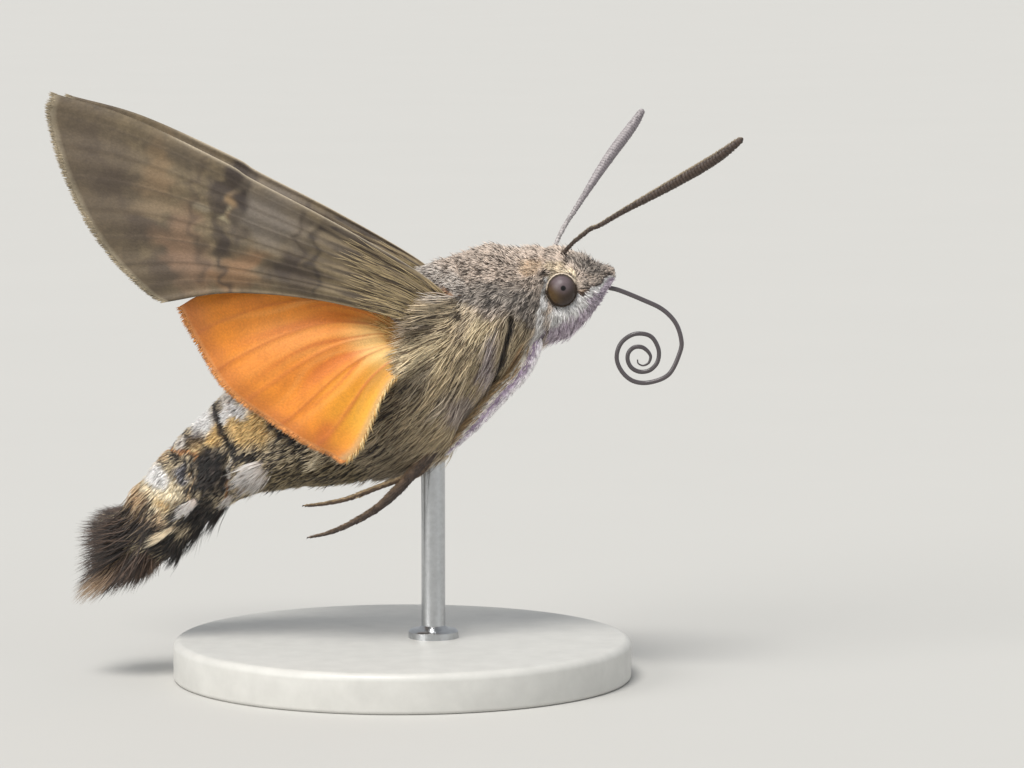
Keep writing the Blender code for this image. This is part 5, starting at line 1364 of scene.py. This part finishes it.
def build_wing_hairs(label, side):
    """Long pale hairs over both wings' roots, and a fringe of scales along the outer and inner edges."""
    rng = np.random.default_rng(101)

    def joined(sets):
        """The paths, turned to their side, their outward directions, tints and places on the bake map."""
        path, out, tint, spot = (np.concatenate(part) for part in zip(*sets))
        return to_side(path, side), out * (1.0, side, 1.0), tint, np.clip(spot, 0.005, 0.995)

    sets = []
    for surface, count, reach, light, dark in BRIDGING_HAIRS:
        path, out, v0 = bridging_hairs(*surface, rng, count, reach, 0.16)
        tint = two_tone(rng, count, light, dark, 0.35, 0.8, 1.15)
        sets.append((path, out, tint, np.stack((np.full(count, 0.9), v0), axis=1)))
    for surface, count, reach, light, dark, span in WING_HAIRS:
        u0 = rng.uniform(*span, count)
        v0 = rng.uniform(0.03, 1.0, count) ** 0.8
        length = reach * rng.uniform(0.4, 1.0, count) * (1.0 - 0.5 * u0 / span[1])
        face = np.where(rng.random(count) < 0.6, 1.0, -1.0)
        path, out = hairs_on_wing(*surface, rng, u0, v0, length, 0.12, 0.03, face)
        tint = two_tone(rng, count, light, dark, 0.3, 0.8, 1.15)
        sets.append((path, out, tint, np.stack((u0 / span[1], v0), axis=1)))
    path, out, tint, spot = joined(sets)
    width = HAIR_WIDTHS["wing root"] * rng.uniform(0.7, 1.3, len(path))
    # Roots at three quarters of the tips' colour: painted shade among the hairs.
    strands("wing_root_hairs_" + label, path, out, width, tint * 0.75, tint, spot, "wing_brown")
    sets = []
    for surface, count, inner, light, dark, row in FRINGES:
        path, out, place = edge_hairs(*surface, rng, count, inner)
        tint = two_tone(rng, count, light, dark, 0.35, 0.85, 1.15)
        sets.append((path, out, tint, np.stack((np.full(count, row), place), axis=1)))
    path, out, tint, spot = joined(sets)
    width = HAIR_WIDTHS["wing fringe"] * rng.uniform(0.7, 1.2, len(path))
    # Roots a little darker than the tips: painted shade among the fringe's scales.
    strands("wing_fringes_" + label, path, out, width, tint * 0.95, tint, spot, "wing_orange", thick=0.2)


def build_wings():
    """Fore and hind wing on each side, with their hairs."""
    for label, side in (("right", 1.0), ("left", -1.0)):
        wing("wing_fore_" + label, "forewing_" + label, "wing_brown", *FORE, fore_tints, side, (150, 98))
        wing("wing_hind_" + label, "hindwing_" + label, "wing_orange", *HIND, hind_tints, side, (114, 92))
        build_wing_hairs(label, side)


# Feelers, tongue and legs

def widths(radii, run):
    """The radius at shares of a route's run, from radii at equal shares of it."""
    return between(np.array(radii)[:, None], run * (len(radii) - 1))[:, 0]


def build_feelers():
    """Each feeler: ringed joints that widen to a club and end in a fine hooked point, pale along the top."""
    for label, points, (base, top_tone, pale) in zip(("right", "left"), (FEELER_RIGHT, FEELER_LEFT),
                                                     FEELER_TONES):
        rows, around = 520, 16
        route = even(points, rows)
        run = np.linspace(0, 1, rows)
        radius = widths(FEELER_RADII, run)
        phase = (run * FEELER_SEGMENTS) % 1.0
        radius = radius * (1.0 - 0.13 * np.exp(-((phase - 0.5) / 0.16) ** 2))
        radius = radius * np.sqrt(np.clip((1.0 - run) / 0.012, 0.03, 1.0))
        turn = 2 * np.pi * np.arange(around) / around
        comb = 1.0 + 0.04 * np.cos(2 * turn)[None]
        ahead, side, up = axes_along(route)
        top = np.cos(turn)[None] * side[:, None, 2] + np.sin(turn)[None] * up[:, None, 2]
        base, top_tone = linear(base), linear(top_tone)
        tint = base + (top_tone - base) * (smooth((top - 0.45) / 0.45) * 0.75)[..., None]
        band = np.exp(-((phase - 0.5) / 0.14) ** 2)[:, None, None]
        tint = tint * (1.0 - 0.40 * band)
        root = smooth((0.45 - run) / 0.4)[:, None, None] * pale
        tint = tint + (linear(FEELER_ROOT) * (1.0 - 0.60 * band) - tint) * root * 0.6
        finish_piece(tube("feeler_" + label, route, radius[:, None] * comb, tint), FEELER_HORN, "feeler",
                     "antenna_" + label)
        rng = np.random.default_rng(121)
        count = FEELER_SCALES
        where = rng.uniform(0.02, 0.97, count)
        spin = rng.uniform(0, 2 * np.pi, count)
        at = (where * (rows - 1)).astype(int)
        ring = np.cos(spin)[:, None] * side[at] + np.sin(spin)[:, None] * up[at]
        start = route[at] + ring * (radius[at] * 0.96)[:, None]
        aim = unit(ahead[at] + 0.35 * ring)
        length = rng.uniform(0.06, 0.15, count)[:, None]
        path = np.stack([start + aim * length * t for t in (0.0, 0.5, 1.0)], axis=1)
        tone = tint[at, (spin / (2 * np.pi) * around).astype(int) % around]
        spot = np.stack((where, spin / (2 * np.pi)), axis=1) * 0.99 + 0.005
        # Scales darker at their roots than at their tips: painted shade under the overlapping scales.
        strands("feeler_scales_" + label, path, np.repeat(ring[:, None], 3, axis=1),
                np.full(count, HAIR_WIDTHS["feeler"]), tone * 0.8, tone * 1.25, spot, "feeler", thick=0.3)


def build_tongue():
    """The tongue: two halves side by side with a groove, ringed, in a flat coil."""
    path = list(TONGUE_FREE)
    for k, radius in enumerate(COIL_RADII):
        angle = math.radians(COIL_START - COIL_STEP * k)
        path.append((COIL_CENTRE[0] + radius * math.cos(angle), COIL_CENTRE[1] + radius * math.sin(angle)))
    rows, around = 600, 18
    flat = even(np.array(path), rows)
    route = np.stack((flat[:, 0], np.zeros(rows), flat[:, 1]), axis=1)
    run = np.linspace(0, 1, rows)
    radius = TONGUE_RADII[1] + (TONGUE_RADII[0] - TONGUE_RADII[1]) * (1 - run) ** 1.3
    radius = radius * (1 - 0.68 * smooth((run - 0.90) / 0.10))
    turn = 2 * np.pi * np.arange(around) / around
    groove = 1.0 - 0.16 * np.exp(-(np.abs(np.cos(turn)) - 1.0) ** 2 / 0.01)[None]
    rings = 1.0 - 0.03 * (0.5 + 0.5 * np.cos(run * 2 * np.pi * TONGUE_RINGS))[:, None]
    tint = np.tile(linear(TONGUE_TONE), (rows, around, 1))
    tint = tint * (1 - 0.35 * np.exp(-(np.abs(np.cos(turn)) - 1.0) ** 2 / 0.02))[None, :, None]
    tint = tint * (0.85 + 0.3 * (1 - run))[:, None, None]
    finish_piece(tube("tongue", route, radius[:, None] * groove * rings, tint), TONGUE_HORN, "tongue",
                 "proboscis")


def build_leg(name, node, points, radii, bands, seed, spurs, fringe):
    """A leg pinched at its joints, with claws, spurs, small scales that lie close along it, and a fringe."""
    rows, around = 160, 16
    route = even(points, rows)
    run = np.linspace(0, 1, rows)
    radius = widths(radii, run)
    for joint in LEG_JOINTS:
        radius = radius * (1.0 - 0.12 * np.exp(-((run - joint) / 0.010) ** 2))
    ahead, side, up = axes_along(route)
    stops, colours = [place for place, _ in bands], linear([colour for _, colour in bands])

    def banded(spin):
        """The bands' colour at a turn round the leg."""
        return np.stack([np.interp(np.cos(spin), stops, colours[:, k]) for k in range(3)], axis=-1)

    tint = banded(2 * np.pi * np.arange(around) / around)[None]
    tint = tint * (1 + 0.15 * waves(route, 0.5, seed))[:, None, None]
    core = tube(name, route, np.repeat(radius[:, None] * 0.92, around, axis=1), tint)
    finish_piece(core, LEG_SCALES, "leg", node)
    rng = np.random.default_rng(seed)
    count = 2000 if fringe else 900
    where, spin = rng.uniform(0.02, 0.985, count), rng.uniform(0, 2 * np.pi, count)
    at = (where * (rows - 1)).astype(int)
    ring = np.cos(spin)[:, None] * side[at] + np.sin(spin)[:, None] * up[at]
    start = route[at] + ring * (radius[at] * 0.88)[:, None]
    length = rng.uniform(0.12, 0.24, count)[:, None] * (0.6 + 1.6 * radius[at])[:, None]
    path = np.stack([start + ahead[at] * length * t + ring * (0.02 + 0.10 * radius[at, None]) * t
                     for t in (0.0, 0.5, 1.0)], axis=1)
    tone = banded(spin + 0.25 * rng.normal(size=count)) * rng.uniform(0.8, 1.25, count)[:, None]
    paths, outs = [path], [np.repeat(ring[:, None], 3, axis=1)]
    wides, shades = [np.full(count, HAIR_WIDTHS["leg"])], [tone]
    spots = [np.stack((where, spin / (2 * np.pi)), axis=1)]
    if fringe:
        where, lean = rng.uniform(0.10, 0.92, fringe), rng.normal(size=fringe) * 0.5
        at = (where * (rows - 1)).astype(int)
        ring = np.cos(lean)[:, None] * side[at] + np.sin(lean)[:, None] * up[at]
        start = route[at] + ring * (radius[at] * 0.8)[:, None]
        length = rng.uniform(0.5, 1.1, fringe)[:, None]
        paths.append(np.stack([start + (ahead[at] + ring * 0.34) * length * t for t in (0.0, 0.5, 1.0)],
                              axis=1))
        outs.append(np.repeat(ring[:, None], 3, axis=1))
        wides.append(np.full(fringe, HAIR_WIDTHS["leg fringe"]))
        shades.append(linear(LEG_FRINGE) * rng.uniform(0.55, 1.1, fringe)[:, None])
        spots.append(np.stack((where, np.full(fringe, 0.5)), axis=1))
    for where0, way, size in spurs:
        at0 = int(where0 * (rows - 1))
        lean = unit(ahead[at0] + np.array(way))
        paths.append(np.stack([route[at0] + lean * size * t for t in (0.0, 0.6, 1.0)])[None])
        outs.append(np.repeat(up[at0][None, None], 3, axis=1))
        wides.append(np.array((HAIR_WIDTHS["spur"],)))
        shades.append(colours[-1][None])
        spots.append(np.array(((where0, 0.5),)))
    for hook in (-1.0, 1.0):
        end, lean = route[-1], ahead[-1]
        paths.append(np.stack((end - lean * 0.1, end + lean * 0.06 + (0, 0.05 * hook, 0),
                               end + lean * 0.10 + (0, 0.08 * hook, -0.06)))[None])
        outs.append(np.repeat(up[-1][None, None], 3, axis=1))
        wides.append(np.array((HAIR_WIDTHS["claw"],)))
        shades.append(colours[0][None] * 0.6)
        spots.append(np.array(((0.98, 0.5 + 0.2 * hook),)))
    path, tone = np.concatenate(paths), np.concatenate(shades)
    # Scales darker at their roots: painted shade under the overlapping scales.
    strands(name + "_scales", path, np.concatenate(outs), np.concatenate(wides), tone * 0.85, tone,
            np.clip(np.concatenate(spots), 0.005, 0.995), "leg", thick=0.3)


def build_legs():
    """Three pairs of legs; the left ones hang a little lower along their outer halves."""
    seed = 141
    for label, side in (("right", 1.0), ("left", -1.0)):
        for kind, points, radii, bands, spurs, fringe, drop in LEGS:
            route = np.array(points) * (1.0, side, 1.0)
            if side < 0:
                route[:, 2] -= drop * np.minimum(2.0 * np.linspace(0.0, 1.0, len(route)), 1.0)
            node = kind + "_" + label
            build_leg("leg_" + node, node, route, radii, bands, seed, spurs, fringe)
            seed += 2


# Stand

def turned(name, profile, around, mat, finish, node, x=0.0):
    """A solid of revolution: the profile (radius, height) carried round an upright axis that stands at x."""
    profile = np.array(profile)
    radius, height = profile[:, :1], profile[:, 1:]
    angle = 2 * np.pi * np.arange(around) / around
    loops = np.stack((radius * np.cos(angle) + x, radius * np.sin(angle), height + 0.0 * angle), axis=-1)
    points = np.vstack((loops.reshape(-1, 3), (x, 0.0, profile[0, 1]), (x, 0.0, profile[-1, 1])))
    obj = closed_form(name, points, len(profile), around)
    obj.data.set_sharp_from_angle(angle=math.radians(40))
    finish_piece(obj, mat, finish, node)


def build_stand():
    """The round base with softened edges, and the rod with its collar."""
    edge, soft, top = BASE_RADIUS, BASE_ROUNDING, BASE_HEIGHT
    curve = [(edge - soft + soft * math.sin(a), top - soft + soft * math.cos(a))
             for a in np.linspace(math.pi / 2, 0, 9)]
    foot = [(edge - soft * 0.5 + soft * 0.5 * math.cos(a), soft * 0.5 - soft * 0.5 * math.sin(a))
            for a in np.linspace(math.pi / 2, 0, 6)]
    turned("display_base", [(0.02, 0.0)] + foot + curve + [(2.2, top), (0.02, top)], 160, BASE_PAINT,
           "stand_base", "stand_base")
    collar = [(0.02, top - 0.2), (1.25, top - 0.2), (1.25, top + 0.32), (1.15, top + 0.42),
              (0.78, top + 0.46)]
    turned("display_rod", collar + [(ROD_RADIUS, top + 0.62), (ROD_RADIUS, ROD_TOP), (0.02, ROD_TOP)], 64,
           ROD_METAL, "stand_rod", "stand_rod", ROD_X)


def build_studio():
    """Pale floor, soft light from above on both sides, and the camera."""
    corners = ((-1, -1, 0), (1, -1, 0), (1, 1, 0), (-1, 1, 0))
    plane = new_mesh("floor", np.array(corners) * FLOOR_REACH, ((0, 1, 2, 3),))
    plane.data.materials.append(FLOOR_PAINT)
    scene = bpy.context.scene
    world = bpy.data.worlds.new("studio")
    world.use_nodes = True
    set_inputs(world.node_tree, world.node_tree.nodes["Background"],
               {"Color": SKY_COLOUR, "Strength": SKY_STRENGTH})
    scene.world = world
    for name, place, spread, power, warmth in LAMPS:
        lamp = bpy.data.lights.new(name, "SUN")
        lamp.angle = math.radians(spread)
        lamp.energy = power
        lamp.color = warmth
        obj = bpy.data.objects.new(name, lamp)
        obj.location = np.array(place) * LAMP_DISTANCE * MM
        obj.rotation_euler = look_along(-np.array(place))
        scene.collection.objects.link(obj)
    camera = bpy.data.cameras.new("camera")
    camera.sensor_width = 36.0
    camera.lens = PIXELS_PER_MM * DISTANCE / PICTURE_WIDTH * camera.sensor_width
    camera.clip_start, camera.clip_end = 0.01, 20.0
    obj = bpy.data.objects.new("camera", camera)
    tilt = math.radians(ELEVATION)
    obj.location = (np.array(AIM) + DISTANCE * np.array((0.0, -math.cos(tilt), math.sin(tilt)))) * MM
    obj.rotation_euler = (math.pi / 2 - tilt, 0.0, 0.0)
    scene.collection.objects.link(obj)
    scene.camera = obj
    scene.view_settings.view_transform = "Standard"


def look_along(way):
    """Turn that points an object's -Z along a direction."""
    way = way / np.linalg.norm(way)
    return (math.acos(-way[2]), 0.0, math.atan2(way[1], way[0]) - math.pi / 2)


build_studio()
build_skin()
build_coat()
build_shoulders()
build_side_brushes()
build_tail()
build_eyes()
build_wings()
build_feelers()
build_tongue()
build_legs()
build_stand()
